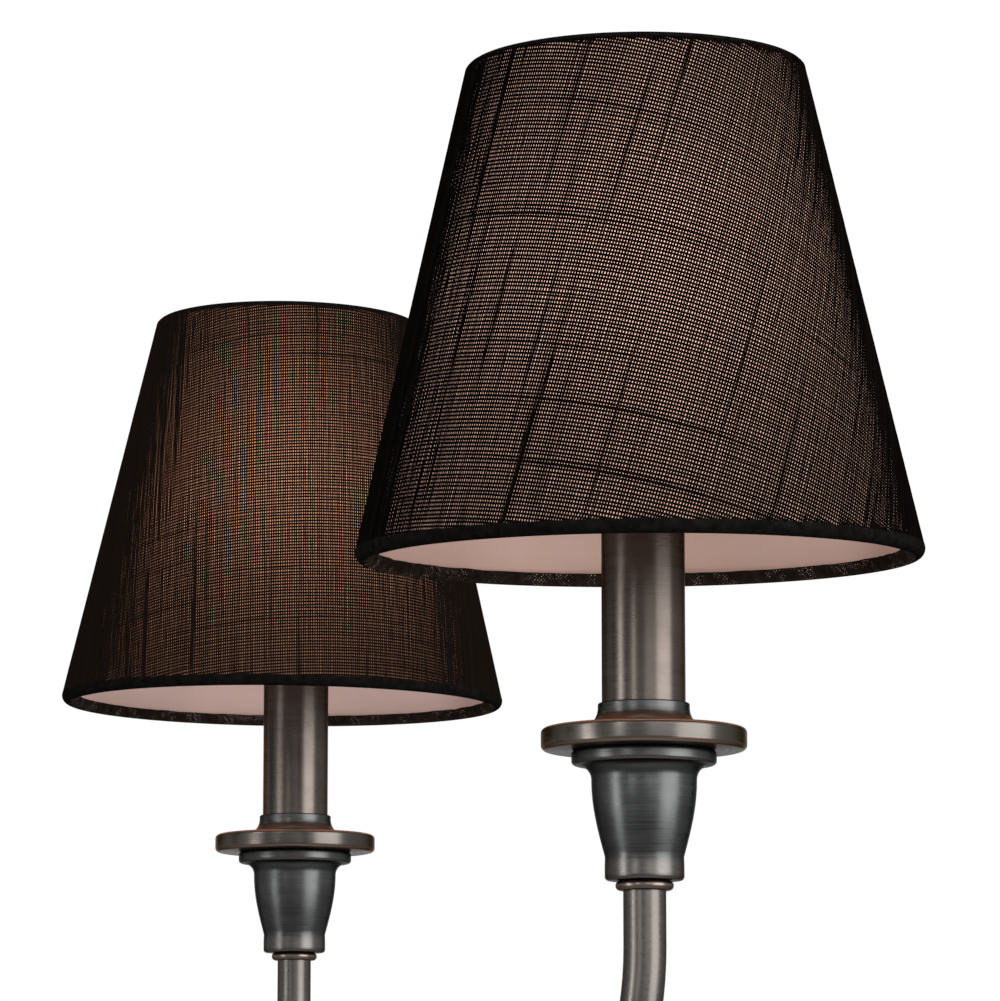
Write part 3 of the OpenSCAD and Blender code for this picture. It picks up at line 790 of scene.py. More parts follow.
def joined(name: str, pieces: Sequence[Object]) -> Object:
    """Joins pieces that all sit at the origin into one.

    Args:
        name: the new piece's name.
        pieces: what to join.

    Returns:
        The one piece.
    """
    first, everything = pieces[0], list(pieces)
    with bpy.context.temp_override(
        active_object=first, object=first, selected_objects=everything, selected_editable_objects=everything
    ):
        bpy.ops.object.join()
    first.name = first.data.name = name
    return first


class GrowthTrees:
    """Trees of geometry nodes for what repeats or follows a path."""

    # How often a yarn's wander and thickness change in a metre, across the threads and along one.
    WANDER_RATE: Point2 = (1100.0, 75.0)
    THICKNESS_RATE: Point2 = (1250.0, 7.0)
    THICKNESS_SEED: float = 31.0
    # The noise that makes plain yarn, the girth that it gives, and the noise that makes slubs.
    PLAIN_NOISE: Point2 = (0.25, 0.6)
    PLAIN_GIRTH: Point2 = (0.95, 1.04)
    SLUB_NOISE: Point2 = (0.645, 0.73)
    SAME_POINT: float = 0.00005
    TUBE_FLATS: int = 40

    def __init__(self) -> None:
        """Builds the trees once."""
        self.threads = self._threads()
        self.arm = self._arm()

    @staticmethod
    def _close(work: NodeWork, mesh: Wire, material: Wire, end: Node) -> NodeTree:
        """Ends a tree: smooth, real and dressed.

        Args:
            work: the work on the tree.
            mesh: what it has made.
            material: its material.
            end: its output node.

        Returns:
            The tree.
        """
        soft = work.wire("GeometryNodeSetShadeSmooth", {"Geometry": mesh, "Shade Smooth": True})
        real = work.wire("GeometryNodeRealizeInstances", {"Geometry": soft})
        work.feed(end, {0: work.wire("GeometryNodeSetMaterial", {"Geometry": real, "Material": material})})
        return work.tree

    def _threads(self) -> NodeTree:
        """Makes a tree that lays parallel threads in flat cloth, cuts them to a sector and rolls it into a cone.

        Returns:
            The tree.
        """
        work, take, end = open_tree(
            "shade_threads", TreeKind.GEOMETRY,
            {
                "Int": ["Threads", "Steps"],
                "Float": [
                    "Pitch", "Step Length", "Middle", "Inner Reach", "Outer Reach", "Half Angle", "Draft",
                    "Apex Height", "Facing", "Breadth", "Depth", "Slub", "Skew", "Sway", "Seed",
                ],
                "Bool": ["Weft"],
                "Material": ["Material"],
            },
            {"Geometry": ["Geometry"]},
        )
        pitch, step, seed, middle = take["Pitch"], take["Step Length"], take["Seed"], take["Middle"]
        inner, outer, half_angle = take["Inner Reach"], take["Outer Reach"], take["Half Angle"]
        first = (take["Threads"] - 1) * -0.5 * pitch
        starts = work.row(take["Threads"], work.combine(first, 0.0), work.combine(pitch, 0.0))
        low = take["Steps"] * step * -0.5
        strand = work.row(take["Steps"] + 1, work.combine(0.0, low), work.combine(0.0, step))
        order = work.wire("GeometryNodeInputIndex")
        tone = work.wire("FunctionNodeRandomValue", {"ID": order, "Seed": seed}, 1, data_type="FLOAT")
        marked = work.stored(starts, "tone", tone)
        laid = work.wire("GeometryNodeInstanceOnPoints", {"Points": marked, "Instance": strand})
        loose = work.wire("GeometryNodeRealizeInstances", {"Geometry": laid})
        # The place is read anew at each step: as the thread was laid, then in the flat cloth, then on the cone.
        place = work.wire("GeometryNodeInputPosition")
        x, y, _ = work.split(place)
        across, along = self.WANDER_RATE
        wander = work.cloud(work.combine(x * across, y * along, seed), detail=2.0)
        across, along = self.THICKNESS_RATE
        thick = work.cloud(work.combine(x * across, y * along, seed + self.THICKNESS_SEED), detail=1.0)
        slubs = work.spread(thick, *self.SLUB_NOISE, 0.0, take["Slub"])
        sized = work.stored(loose, "girth", work.spread(thick, *self.PLAIN_NOISE, *self.PLAIN_GIRTH) + slubs)
        swayed = x + (wander - 0.5) * (pitch * take["Sway"])
        weft = work.combine(y, y * take["Skew"] + (swayed + middle))
        flat = work.moved(sized, work.either(take["Weft"], weft, work.combine(swayed, y + middle)))
        far = work.wire("ShaderNodeVectorMath", {0: place}, "Value", operation="LENGTH")
        swing = work.math("ARCTAN2", x, -y)
        short = work.math("LESS_THAN", far, inner - step)
        long = work.math("GREATER_THAN", far, outer + step)
        wide = work.math("GREATER_THAN", work.math("ABSOLUTE", swing), half_angle + step / outer)
        outside = {"Geometry": flat, "Selection": short + long + wide}
        cut = work.wire("GeometryNodeDeleteGeometry", outside, domain="POINT")
        held = work.clamp(far, inner, outer)
        level, sine = work.turn(take["Draft"])
        east, north = work.turn(work.clamp(swing, -half_angle, half_angle) / sine + take["Facing"])
        radius = held * sine
        cone = work.combine(radius * east, radius * north, take["Apex Height"] - held * level)
        lines = work.wire("GeometryNodeMeshToCurve", {"Mesh": work.moved(cut, cone)})
        girth = work.wire("GeometryNodeInputNamedAttribute", {"Name": "girth"}, data_type="FLOAT")
        east, north = work.turn(work.math("ARCTAN2", y, x))
        out = {"Curve": lines, "Normal": work.combine(level * east, level * north, sine)}
        lying = work.wire("GeometryNodeSetCurveNormal", out, mode="FREE")
        section = {"Width": take["Depth"], "Height": take["Breadth"]}
        yarn = work.wire("GeometryNodeCurvePrimitiveQuadrilateral", section, mode="RECTANGLE")
        tubes = work.wire("GeometryNodeCurveToMesh", {"Curve": lying, "Profile Curve": yarn, "Scale": girth})
        return self._close(work, tubes, take["Material"], end)

    def _arm(self) -> NodeTree:
        """Makes a tree that bends a hollow tube: straight down from the cup, round, and up level into the hub.

        Returns:
            The tree.
        """
        work, take, end = open_tree(
            "bent_arm", TreeKind.GEOMETRY,
            {
                "Float": [
                    "Lamp Radius", "Hub Radius", "Top", "Straight", "Bend Radius", "Return Radius", "Rise", "Outside",
                    "Bore",
                ],
                "Int": ["Steps"],
                "Material": ["Material"],
            },
            {"Geometry": ["Geometry"]},
        )
        bend_r, back_r, rise, steps = take["Bend Radius"], take["Return Radius"], take["Rise"], take["Steps"]
        level, slope = work.turn(rise)
        bend_x, bend_z = take["Lamp Radius"] - bend_r, -take["Straight"]
        back_x, back_z = bend_x - (bend_r + back_r) * slope, bend_z - (bend_r + back_r) * level
        # The points in order: the top, twice as many steps round the bend as round the return, and the hub's end.
        bend_steps = steps * 2
        points = work.wire("GeometryNodeMeshLine", {"Count": steps * 3 + 4}, mode="OFFSET")
        order = work.wire("GeometryNodeInputIndex") - 1.0
        past = order - bend_steps - 1.0
        bend_share, back_share = work.clamp(order / bend_steps, 0.0, 1.0), work.clamp(past / steps, 0.0, 1.0)
        east, up = work.turn(-((rise + math.pi / 2) * bend_share))
        on_bend = work.combine(bend_r * east + bend_x, 0.0, bend_r * up + bend_z)
        east, up = work.turn(math.pi / 2 - rise + rise * back_share)
        on_back = work.combine(back_r * east + back_x, 0.0, back_r * up + back_z)
        bent = work.either(work.math("GREATER_THAN", past, 0.5), on_back, on_bend)
        top = work.combine(take["Lamp Radius"], 0.0, take["Top"])
        topped = work.either(work.math("LESS_THAN", order, -0.5), top, bent)
        hub = work.combine(take["Hub Radius"], 0.0, back_z + back_r)
        path = work.moved(points, work.either(work.math("GREATER_THAN", past, steps + 0.5), hub, topped))
        merged = work.wire("GeometryNodeMergeByDistance", {"Geometry": path, "Distance": self.SAME_POINT})
        line = work.wire("GeometryNodeMeshToCurve", {"Mesh": merged})
        walls = work.node("GeometryNodeJoinGeometry")
        for size, inside in ((take["Outside"], False), (take["Bore"], True)):
            given = {"Resolution": self.TUBE_FLATS, "Radius": size}
            ring = work.wire("GeometryNodeCurvePrimitiveCircle", given, mode="RADIUS")
            wall = work.wire("GeometryNodeCurveToMesh", {"Curve": line, "Profile Curve": ring})
            work.feed(walls, {0: work.wire("GeometryNodeFlipFaces", {"Mesh": wall}) if inside else wall})
        return self._close(work, Wire(work, walls.outputs[0]), take["Material"], end)


@dataclass(frozen=True)
class Seat:
    """How one shade sits on its bulb, which way its cloth faces and whether its painted glow is warmer."""

    lean: float
    lean_axis: float
    shift: Point2
    facing: float
    warm: bool = False


@dataclass
class Layout:
    """Where the lamps stand."""

    circle: float = 265.0
    drop: float = 430.0
    seats: tuple[Seat, ...] = (
        Seat(2.4, 11.5, (-0.3, -2.9), -147.8),
        # Lamp 2's shade gets a warmer painted glow.
        Seat(0.8, -13.0, (-0.4, 3.8), -136.7, warm=True),
        Seat(0.8, 40.0, (0.6, -0.8), 60.0),
        Seat(0.6, 200.0, (-0.7, 0.4), 170.0),
        Seat(1.1, 100.0, (0.5, 0.9), -30.0),
    )

    def place(self, index: int, out: float) -> Matrix:
        """Returns a place at the cups' height, out from the middle toward a lamp, in metres."""
        turn = Matrix.Rotation(math.tau * index / len(self.seats), 4, "Z")
        return turn @ Matrix.Translation((out * MM, 0.0, -self.drop * MM))

    def lamp(self, index: int) -> Matrix:
        """Returns the place of a lamp's cup, in metres."""
        return self.place(index, self.circle)

    def shade(self, index: int, pivot: float) -> Matrix:
        """Leans a shade.

        Args:
            index: the lamp's number, from 0.
            pivot: the height that it leans about.

        Returns:
            The place of the shade, in metres.
        """
        seat = self.seats[index]
        turn = math.radians(seat.lean_axis)
        axis = Vector((math.cos(turn), math.sin(turn), 0.0))
        moved = Matrix.Translation((seat.shift[0] * MM, seat.shift[1] * MM, pivot * MM))
        leaned = moved @ Matrix.Rotation(math.radians(seat.lean), 4, axis) @ Matrix.Translation((0, 0, -pivot * MM))
        return self.lamp(index) @ leaned


def raised(height: float) -> Matrix:
    """Returns a place on the Z axis, at a height in millimetres."""
    return Matrix.Translation((0, 0, height * MM))


def settle(piece: Object, place: Matrix, body: str, nodes: Sequence[str]) -> Object:
    """Puts a piece in its place and ties it to the model.

    Args:
        piece: the piece, drawn upright about the frame's Z axis.
        place: where it goes.
        body: the body that it moves with.
        nodes: the solids that it stands for.

    Returns:
        The piece.
    """
    piece.data.transform(place)
    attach(piece, body)
    if nodes:
        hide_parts(*nodes)
    LOG.info("%s: %d faces on %s", piece.name, len(piece.data.polygons), body)
    return piece


@dataclass
class LampMetal:
    """The turned pieces of a lamp: bead ring, cup, drip pan and candle sleeve, with its bulb."""

    foot_r: float = 8.8
    foot_h: float = 5.6
    foot_edge: float = 0.9
    foot_band: Point2 = (1.4, 3.2)
    waist: Point2 = (-0.06, 5.2)
    body_r: float = 11.7
    flange_r: float = 16.1
    flange_t: float = 3.2
    flange_edge: float = 0.9
    cup_h: float = 28.7
    wall: float = 1.0
    floor: float = 1.6
    bore_r: float = 3.4
    ring_r: float = 6.45
    ring_h: float = 2.2
    pan_r: float = 22.85
    pan_h: float = 5.0
    pan_edge: float = 1.2
    pan_floor: float = 2.0
    collar_r: float = 10.2
    collar_h: float = 10.5
    collar_edge: float = 0.35
    dark_collar: float = 2.2
    flare_r: float = 4.6
    flare_drop: float = 1.0
    seat_depth: float = 3.0
    seat_ledge: float = 1.2
    sleeve_r: float = 9.3
    sleeve_wall: float = 0.7
    sleeve_len: float = 68.9
    fit: float = 0.1
    end_ease: float = 0.25
    bulb_r: float = 15.0
    bulb_low: float = 22.0
    bulb_high: float = 66.0
    bulb_sink: float = 0.4
    neck_r: float = 6.2
    cap_r: float = 5.85
    cap_len: float = 16.5
    cap_edge: float = 1.2
    cap_band: float = 0.6
    thread_low: float = 1.0
    thread_len: float = 14.0
    thread_turns: int = 5
    thread_depth: float = 0.28
    contact: tuple[Point2, ...] = ((0.0, -1.2), (1.6, -1.2), (2.0, -0.8), (2.0, 0.0))
    first_seam: float = 110.0

    @property
    def seat_z(self) -> float:
        """Height of the sleeve's seat above the cup's foot."""
        return self.cup_h + self.collar_h - self.seat_depth

    @property
    def glass_z(self) -> float:
        """Height at which the bulb's glass starts."""
        return self.seat_z + self.sleeve_len - self.bulb_sink

    def flange(self, profile: Profile, outside: float, low: float) -> None:
        """Goes round a flange's edge, from its lower face to its upper one.

        Args:
            profile: the outline to add to.
            outside: the flange's radius.
            low: height of its lower face.
        """
        edge = self.flange_edge
        profile.arc(outside - edge, low + edge, edge, -90, 0, rub=0.5)
        profile.arc(outside - edge, low + self.flange_t - edge, edge, 0, 90, rub=0.3)

    def bell(self, foot: float, body: float, flange: float, height: float, bore: float) -> Profile:
        """Draws a hollow bell with a foot and a flange at its rim.

        Args:
            foot: radius of the foot.
            body: radius under the flange.
            flange: radius of the flange.
            height: the whole height.
            bore: radius of the hole in the floor.

        Returns:
            The outline.
        """
        edge, fillet = self.foot_edge, self.flange_t
        shoulder = height - self.flange_t - fillet
        profile = Profile().to(bore, 0.0).to(foot - edge, 0.0)
        profile.arc(foot - edge, edge, edge, -90, 0, rub=0.7)
        profile.to(foot, self.foot_band[0], rub=0.3).to(foot, self.foot_band[1], rub=0.26)
        profile.swell((foot + self.waist[0], self.waist[1]), (body, shoulder))
        profile.arc(body + fillet, shoulder, fillet, 180, 90)
        self.flange(profile, flange, height - self.flange_t)
        profile.to(body - self.wall, height).to(body - self.wall, shoulder)
        return profile.to(foot - self.wall, self.foot_h).to(foot - self.wall, self.floor).to(bore, self.floor)

    def collared_pan(self, bore: float) -> Profile:
        """Draws a pan with a flared collar that seats a tube.

        Args:
            bore: radius of the hole in its floor.

        Returns:
            The outline.
        """
        profile = Profile().to(bore, 0.0)
        edge, rim = self.pan_edge, self.pan_r - self.pan_edge
        # A painted reflection of the lit lining, in copper: a bright line on the upper part of the rim, a faint one
        # at the foot of the flare and a trace on the lower edge.
        profile.arc(rim, edge, edge, -90, 0, rub=0.12)
        profile.arc(rim, self.pan_h - edge, edge, 0, 28).arc(rim, self.pan_h - edge, edge, 30, 90, rub=1.0)
        flare, flare_top, lip = self.collar_r + self.flare_r, self.collar_h - self.flare_drop, self.collar_edge
        profile.arc(flare, flare_top, self.flare_r, 270, 205, rub=0.26, steps=14)
        profile.arc(flare, flare_top, self.flare_r, 203, 180)
        profile.arc(self.collar_r - lip, self.collar_h - lip, lip, 0, 90, steps=4)
        bottom, ledge = self.collar_h - self.seat_depth, self.sleeve_r - self.seat_ledge
        profile.to(self.sleeve_r + self.fit, self.collar_h).to(self.sleeve_r + self.fit, bottom)
        return profile.to(ledge, bottom).to(ledge, self.pan_floor).to(bore, self.pan_floor)

    def pipe(self, outside: float, bore: float, low: float, high: float) -> Profile:
        """Draws a plain tube with eased ends.

        Args:
            outside: its outer radius.
            bore: its inner radius.
            low: height of its lower end.
            high: height of its upper end.

        Returns:
            The outline.
        """
        ease, steps = min(self.end_ease, (outside - bore) / 3), 6
        profile = Profile().to(bore, low).to(outside - ease, low).to(outside, low + ease)
        for i in range(1, steps):
            profile.to(outside, low + (high - low) * i / steps)
        return profile.to(outside, high - ease).arc(outside - ease, high - ease, ease, 0, 90, rub=0.7).to(bore, high)

    def bead(self, outside: float, bore: float, height: float, low: float) -> Profile:
        """Draws a ring with a round outer edge.

        Args:
            outside: its outer radius.
            bore: its inner radius.
            height: its height.
            low: height of its lower face.

        Returns:
            The outline.
        """
        half = height / 2
        profile = Profile().to(bore, low)
        return profile.arc(outside - half, low + half, half, -90, 90, rub=0.3, steps=12).to(bore, low + height)

    def bulb(self) -> Profile:
        """Draws a candle bulb: contact, screw cap, swelling glass and pointed top.

        Returns:
            The outline.
        """
        base = self.glass_z - self.cap_band
        low = base - self.cap_len
        profile = Profile()
        for r, z in self.contact:
            profile.to(r, low + z)
        profile.to(self.cap_r - self.cap_edge, low)
        thread_steps, low_steps, high_steps = self.thread_turns * 6, 16, 24
        for i in range(thread_steps + 1):
            t = i / thread_steps
            depth = self.thread_depth * (1 - math.cos(math.tau * self.thread_turns * t))
            profile.to(self.cap_r - depth, low + self.thread_low + self.thread_len * t)
        profile.to(self.cap_r, base).to(self.cap_r, self.glass_z)
        for i in range(low_steps + 1):
            t = i / low_steps
            swell = (1 - math.cos(math.pi * t)) / 2
            profile.to(self.neck_r + (self.bulb_r - self.neck_r) * swell, self.glass_z + self.bulb_low * t)
        rise = self.bulb_high - self.bulb_low
        arch = (self.bulb_r**2 + rise**2) / (2 * self.bulb_r)
        for i in range(1, high_steps + 1):
            angle = math.asin(rise / arch) * i / high_steps
            r = max(0.0, self.bulb_r - arch + arch * math.cos(angle))
            profile.to(r, self.glass_z + self.bulb_low + arch * math.sin(angle))
        return profile

    def build(self, index: int, layout: Layout, finishes: Materials) -> None:
        """Makes one lamp's metal and bulb.

        Args:
            index: the lamp's number, from 0.
            layout: where the lamps stand.
            finishes: the materials.
        """
        place, tag = layout.lamp(index), index + 1
        seam = self.first_seam - 360.0 / len(layout.seats) * index
        outline = self.bell(self.foot_r, self.body_r, self.flange_r, self.cup_h, self.bore_r)
        cup = revolve(f"turned_cup_{tag}", outline, [finishes["gunmetal"]], seam=seam)
        settle(cup, place, "fixture", [f"cup_{tag}"])
        metals = [finishes["pan"], finishes["gunmetal"]]
        pan = revolve(f"turned_pan_{tag}", self.collared_pan(self.bore_r), metals, seam=seam)
        second_material(pan, lambda face: face.center.z > (self.collar_h - self.dark_collar) * MM)
        settle(pan, place @ raised(self.cup_h), "fixture", [f"drip_pan_{tag}"])
        tube = self.pipe(self.sleeve_r, self.sleeve_r - self.sleeve_wall, self.seat_z, self.seat_z + self.sleeve_len)
        sleeve = revolve(f"brushed_sleeve_{tag}", tube, [finishes["sleeve"]], seam=seam)
        settle(sleeve, place, "fixture", [f"candle_sleeve_{tag}"])
        glass_and_cap = [finishes["glass"], finishes["cap"]]
        bulb = revolve(f"candle_bulb_{tag}", self.bulb(), glass_and_cap, segments=72, seam=seam)
        second_material(bulb, lambda face: face.center.z < (self.glass_z - self.fit) * MM)
        settle(bulb, place, f"bulb_{tag}", [f"bulb_{tag}"])

    def build_rings(self, layout: Layout, finishes: Materials) -> None:
        """Makes the bead rings between arms and cups, as one piece.

        Args:
            layout: where the lamps stand.
            finishes: the materials.
        """
        outline = self.bead(self.ring_r, self.bore_r, self.ring_h, -self.ring_h)
        rings = [revolve(f"bead_{i}", outline, [finishes["satin"]]) for i in range(len(layout.seats))]
        for i, ring in enumerate(rings):
            ring.data.transform(layout.lamp(i))
        settle(joined("bead_rings", rings), Matrix.Identity(4), "fixture", ["neck_rings"])


@dataclass
class BentArms:
    """The arm tubes."""

    outside_r: float = 4.75
    wall: float = 1.2
    straight: float = 14.5
    bend_r: float = 85.0
    return_r: float = 80.0
    rise: float = 55.0
    hub_face: float = 23.0
    top: float = -2.2
    steps: int = 30

    def build(self, trees: GrowthTrees, layout: Layout, finishes: Materials) -> None:
        """Makes every arm.

        Args:
            trees: the geometry node trees.
            layout: where the lamps stand.
            finishes: the materials.
        """
        lengths = {
            "Lamp Radius": layout.circle, "Hub Radius": self.hub_face, "Top": self.top, "Straight": self.straight,
            "Bend Radius": self.bend_r, "Return Radius": self.return_r, "Outside": self.outside_r,
            "Bore": self.outside_r - self.wall,
        }
        values = {name: length * MM for name, length in lengths.items()}
        values |= {"Rise": math.radians(self.rise), "Steps": self.steps, "Material": finishes["tube"]}
        for index in range(len(layout.seats)):
            arm = grown(f"bent_arm_{index + 1}", trees.arm, values)
            settle(arm, layout.place(index, 0.0), "fixture", [f"arm_{index + 1}"])


@dataclass
class ClothShade:
    """A tapered shade: pale lining, open dark weave and hems turned in over two rings."""

    bottom_r: float = 63.5
    top_r: float = 38.6
    height: float = 112.3
    low_z: float = 71.0
    pivot: float = 156.7
    wire_r: float = 1.0
    gap: float = 0.3
    cloth: float = 0.8
    warp_pitch: float = 0.638
    weft_pitch: float = 0.89
    warp_w: float = 0.44
    weft_w: float = 0.49
    yarn_t: float = 0.085
    warm_yarn_t: float = 0.135
    warp_out: float = 2.0
    weft_out: float = 1.88
    lining_in: float = 1.45
    lining_out: float = 1.75
    slub: float = 0.42
    sway: float = 0.5
    skew: float = 3.35
    step: float = 4.5
    seed_step: float = 7.0
    over_low: float = 0.2
    over_top: float = 0.45
    band_low: float = 0.35
    band_top: float = -0.45
    lip_low: float = 1.35
    lip_top: float = 0.9
    hem_t: float = 0.3
    rag: float = 0.18
    rag_waves: float = 9.0
    fine_rag: Point2 = (0.6, 3.7)
    rag_seed: float = 5.0
    band_rag: float = 1.6
    seam_w: float = 6.0
    seam_in: float = 1.8
    seam_out: float = 2.08
    # Where the lining's painted glow is brightest, as a share of the wall's height, and how far it spreads.
    bulb_up: float = 0.56
    light_spread: float = 0.36
    rows: int = 24

    @property
    def hem_r(self) -> float:
        """Radius of the cloth's outer face round a ring."""
        return self.wire_r + self.gap + self.cloth

    @property
    def low_ring(self) -> Point2:
        """Centre of the lower ring's wire, as radius and height."""
        return self.bottom_r - self.hem_r, self.low_z + self.hem_r

    @property
    def top_ring(self) -> Point2:
        """Centre of the upper ring's wire, as radius and height."""
        return self.top_r - self.hem_r, self.low_z + self.height - self.hem_r

    @property
    def draft(self) -> float:
        """Half angle of the cone, in radians."""
        return math.atan2(self.low_ring[0] - self.top_ring[0], self.top_ring[1] - self.low_ring[1])

    @property
    def half(self) -> float:
        """Half angle of the flat cloth, in radians."""
        return math.pi * math.sin(self.draft)

    @property
    def wall_len(self) -> float:
        """Length of the wall from ring to ring."""
        return math.dist(self.low_ring, self.top_ring)

    def on_wall(self, out: float, up: float) -> Point2:
        """Returns the radius and height of a place out from and up along the line between the rings."""
        sine, cosine = math.sin(self.draft), math.cos(self.draft)
        return self.low_ring[0] + out * cosine - up * sine, self.low_ring[1] + out * sine + up * cosine

    def reach(self, out: float) -> float:
        """Returns the distance of the wall's lower end from the cone's apex."""
        return self.on_wall(out, 0.0)[0] / math.sin(self.draft)

    def flat(self, near: float, far: float) -> Point2:
        """Returns the width and depth of a flat sector between two distances from its apex."""
        return 2 * far * math.sin(self.half), far - near * math.cos(self.half)

    def painted_glow_level(self, up: float) -> float:
        """Returns the level of the lining's painted glow at a share of the wall's height, brightest at the bulb's
        height.
        """
        return 1.0 / (1.0 + ((up - self.bulb_up) / self.light_spread) ** 2)

    def _lining(self, tag: int, seat: Seat, finishes: Materials) -> Object:
        """Makes the lining, a thin shell with a painted glow on both faces, strongest on its outer face.

        Args:
            tag: the lamp's number, from 1.
            seat: whether its painted glow is warmer.
            finishes: the materials.

        Returns:
            The lining.
        """
        names = ("dim_painted_glow_lining", "warm_painted_glow_lining") if seat.warm else ("lining", "painted_glow_lining")
        profile = Profile()
        length = self.wall_len + self.over_top
        # The outer rows carry the level of the painted glow, which is brightest at the bulb's height.
        for i in range(self.rows + 1):
            profile.to(*self.on_wall(self.lining_out, length * i / self.rows), rub=self.painted_glow_level(i / self.rows))
        for i in range(self.rows, -1, -1):
            profile.to(*self.on_wall(self.lining_in, length * i / self.rows))
        piece = revolve(f"shade_lining_{tag}", profile, [finishes[name] for name in names], segments=144)
        second_material(piece, lambda face: outward(face) > 0)
        return piece

    def _weave(self, tag: int, seat: Seat, trees: GrowthTrees, finishes: Materials) -> Object:
        """Makes the open weave, two crossing sets of threads on the cone.

        Args:
            tag: the lamp's number, from 1.
            seat: which way the middle of the flat cloth faces, and whether its painted glow is warmer.
            trees: the geometry node trees.
            finishes: the materials.

        Returns:
            The weave as one piece.
        """
        sets = []
        skew, shrink = math.tan(math.radians(self.skew)), math.cos(self.half)
        spare_threads, spare_steps = 2, 4
        kinds = (
            (Run.WARP, self.warp_pitch, self.warp_w, self.warp_out, 0.0),
            (Run.WEFT, self.weft_pitch, self.weft_w, self.weft_out, 3.0),
        )
        for run, pitch, girth, out, seed in kinds:
            far = self.reach(out) + self.over_low
            near = far - self.wall_len - self.over_low - self.over_top
            width, depth = self.flat(near, far)
            count_span, run_span = (depth + skew * width, width) if run.value else (width, depth)
            lengths = {
                "Pitch": pitch, "Step Length": self.step, "Middle": -(far + near * shrink) / 2,
                "Inner Reach": near, "Outer Reach": far, "Breadth": girth,
                "Apex Height": self.on_wall(out, 0.0)[1] + self.reach(out) * math.cos(self.draft),
                "Depth": self.warm_yarn_t if seat.warm else self.yarn_t,
            }
            values = {name: length * MM for name, length in lengths.items()} | {
                "Threads": int(count_span / pitch) + spare_threads,
                "Steps": int(run_span / self.step) + spare_steps,
                "Weft": run.value, "Half Angle": self.half, "Draft": self.draft,
                "Facing": math.radians(seat.facing), "Slub": self.slub, "Skew": skew, "Sway": self.sway,
                "Seed": tag * self.seed_step + seed,
                "Material": finishes["warm_painted_glow_thread" if seat.warm else "thread"],
            }
            sets.append(grown(f"shade_{run.name.lower()}_{tag}", trees.threads, values))
        return joined(f"shade_weave_{tag}", sets)

    def _hem(self, tag: int, upper: bool, finishes: Materials) -> Object:
        """Makes one hem: a band outside, round the ring, and a lip with a cut edge inside.

        Args:
            tag: the lamp's number, from 1.
            upper: whether it is the upper hem.
            finishes: the materials.

        Returns:
            The hem, a closed strip.
        """
        half, radius = self.hem_t / 2, self.hem_r - self.hem_t / 2
        lip, band = (self.lip_top, self.band_top) if upper else (self.lip_low, self.band_low)
        segments, turns, lip_steps = 288, 12, 4
        # Place, way out of the cloth and share of the cut edge's raggedness, along the cloth's middle.
        path = [(radius, band, 1.0, 0.0, self.band_rag)] if band > 0 else []
        first = math.asin(max(0.0, -band) / radius)
        for i in range(turns):
            angle = first + (math.pi - first) * i / turns
            east, down = math.cos(angle), -math.sin(angle)
            path.append((radius * east, radius * down, east, down, 0.0))
        for i in range(lip_steps + 1):
            path.append((-radius, lip * i / lip_steps, -1.0, 0.0, i / lip_steps))
        loop = [(x + nx * half, y + ny * half, share) for x, y, nx, ny, share in path]
        loop += [(x - nx * half, y - ny * half, share) for x, y, nx, ny, share in reversed(path)]
        rows: list[list[Vector]] = [[] for _ in loop]
        fine, rate = self.fine_rag
        for k in range(segments):
            angle = math.tau * k / segments
            east, north = math.cos(angle) * self.rag_waves, math.sin(angle) * self.rag_waves
            wave = Vector((east, north, tag * self.rag_seed + upper))
            cut = self.rag * (noise.noise(wave) + fine * noise.noise(wave * rate))
            for row, (x, y, share) in zip(rows, loop):
                up = y + cut * share
                r, z = self.on_wall(x, self.wall_len - up if upper else up)
                row.append(around(r, angle, z))
        lengths = run_lengths([(x, y) for x, y, _ in loop])
        girth = math.tau * self.bottom_r * MM
        piece = skin(
            f"shade_{'upper' if upper else 'lower'}_hem_{tag}", rows,
            lambda row, k: (girth * k / segments, lengths[row]), [finishes["hem"], finishes["lip"]], sharp=50.0,
        )
        second_material(piece, lambda face: outward(face) < 0)
        return piece

    def _seam(self, tag: int, seat: Seat, finishes: Materials) -> Object:
        """Makes the lapped seam, a narrow closed strip of doubled cloth down the shade's back.

        Args:
            tag: the lamp's number, from 1.
            seat: which way the cloth faces.
            finishes: the materials.

        Returns:
            The seam.
        """
        columns = 6
        back = math.radians(seat.facing) + math.pi
        outer = [(self.seam_out, self.seam_w * (k / columns - 0.5)) for k in range(columns + 1)]
        loop = outer + [(self.seam_in, across) for _, across in reversed(outer)]
        rows = []
        for i in range(self.rows + 1):
            places = [(*self.on_wall(out, self.wall_len * i / self.rows), across) for out, across in loop]
            rows.append([around(r, back + across / r, z) for r, z, across in places])
        return skin(
            f"shade_seam_{tag}", rows,
            lambda row, k: (loop[k % len(loop)][1] * MM, self.wall_len * row / self.rows * MM), [finishes["hem"]],
            ends=True, sharp=0.0,
        )

    def build(self, index: int, layout: Layout, trees: GrowthTrees, finishes: Materials) -> None:
        """Makes one shade.

        Args:
            index: the lamp's number, from 0.
            layout: where the lamps stand.
            trees: the geometry node trees.
            finishes: the materials.
        """
        tag, seat = index + 1, layout.seats[index]
        place, body, node = layout.shade(index, self.pivot), f"shade_{tag}", f"shade_cover_{tag}"
        lining = settle(self._lining(tag, seat, finishes), place, body, [node])
        weave = settle(self._weave(tag, seat, trees, finishes), place, body, [])
        hems = [settle(self._hem(tag, upper, finishes), place, body, []) for upper in (False, True)]
        seam = settle(self._seam(tag, seat, finishes), place, body, [])
        far = self.reach((self.lining_in + self.lining_out) / 2)
        near = far - self.wall_len - self.over_top
        width, depth = self.flat(near, far)
        width * MM
        depth * MM
        self.half * (far**2 - near**2) * MM * MM


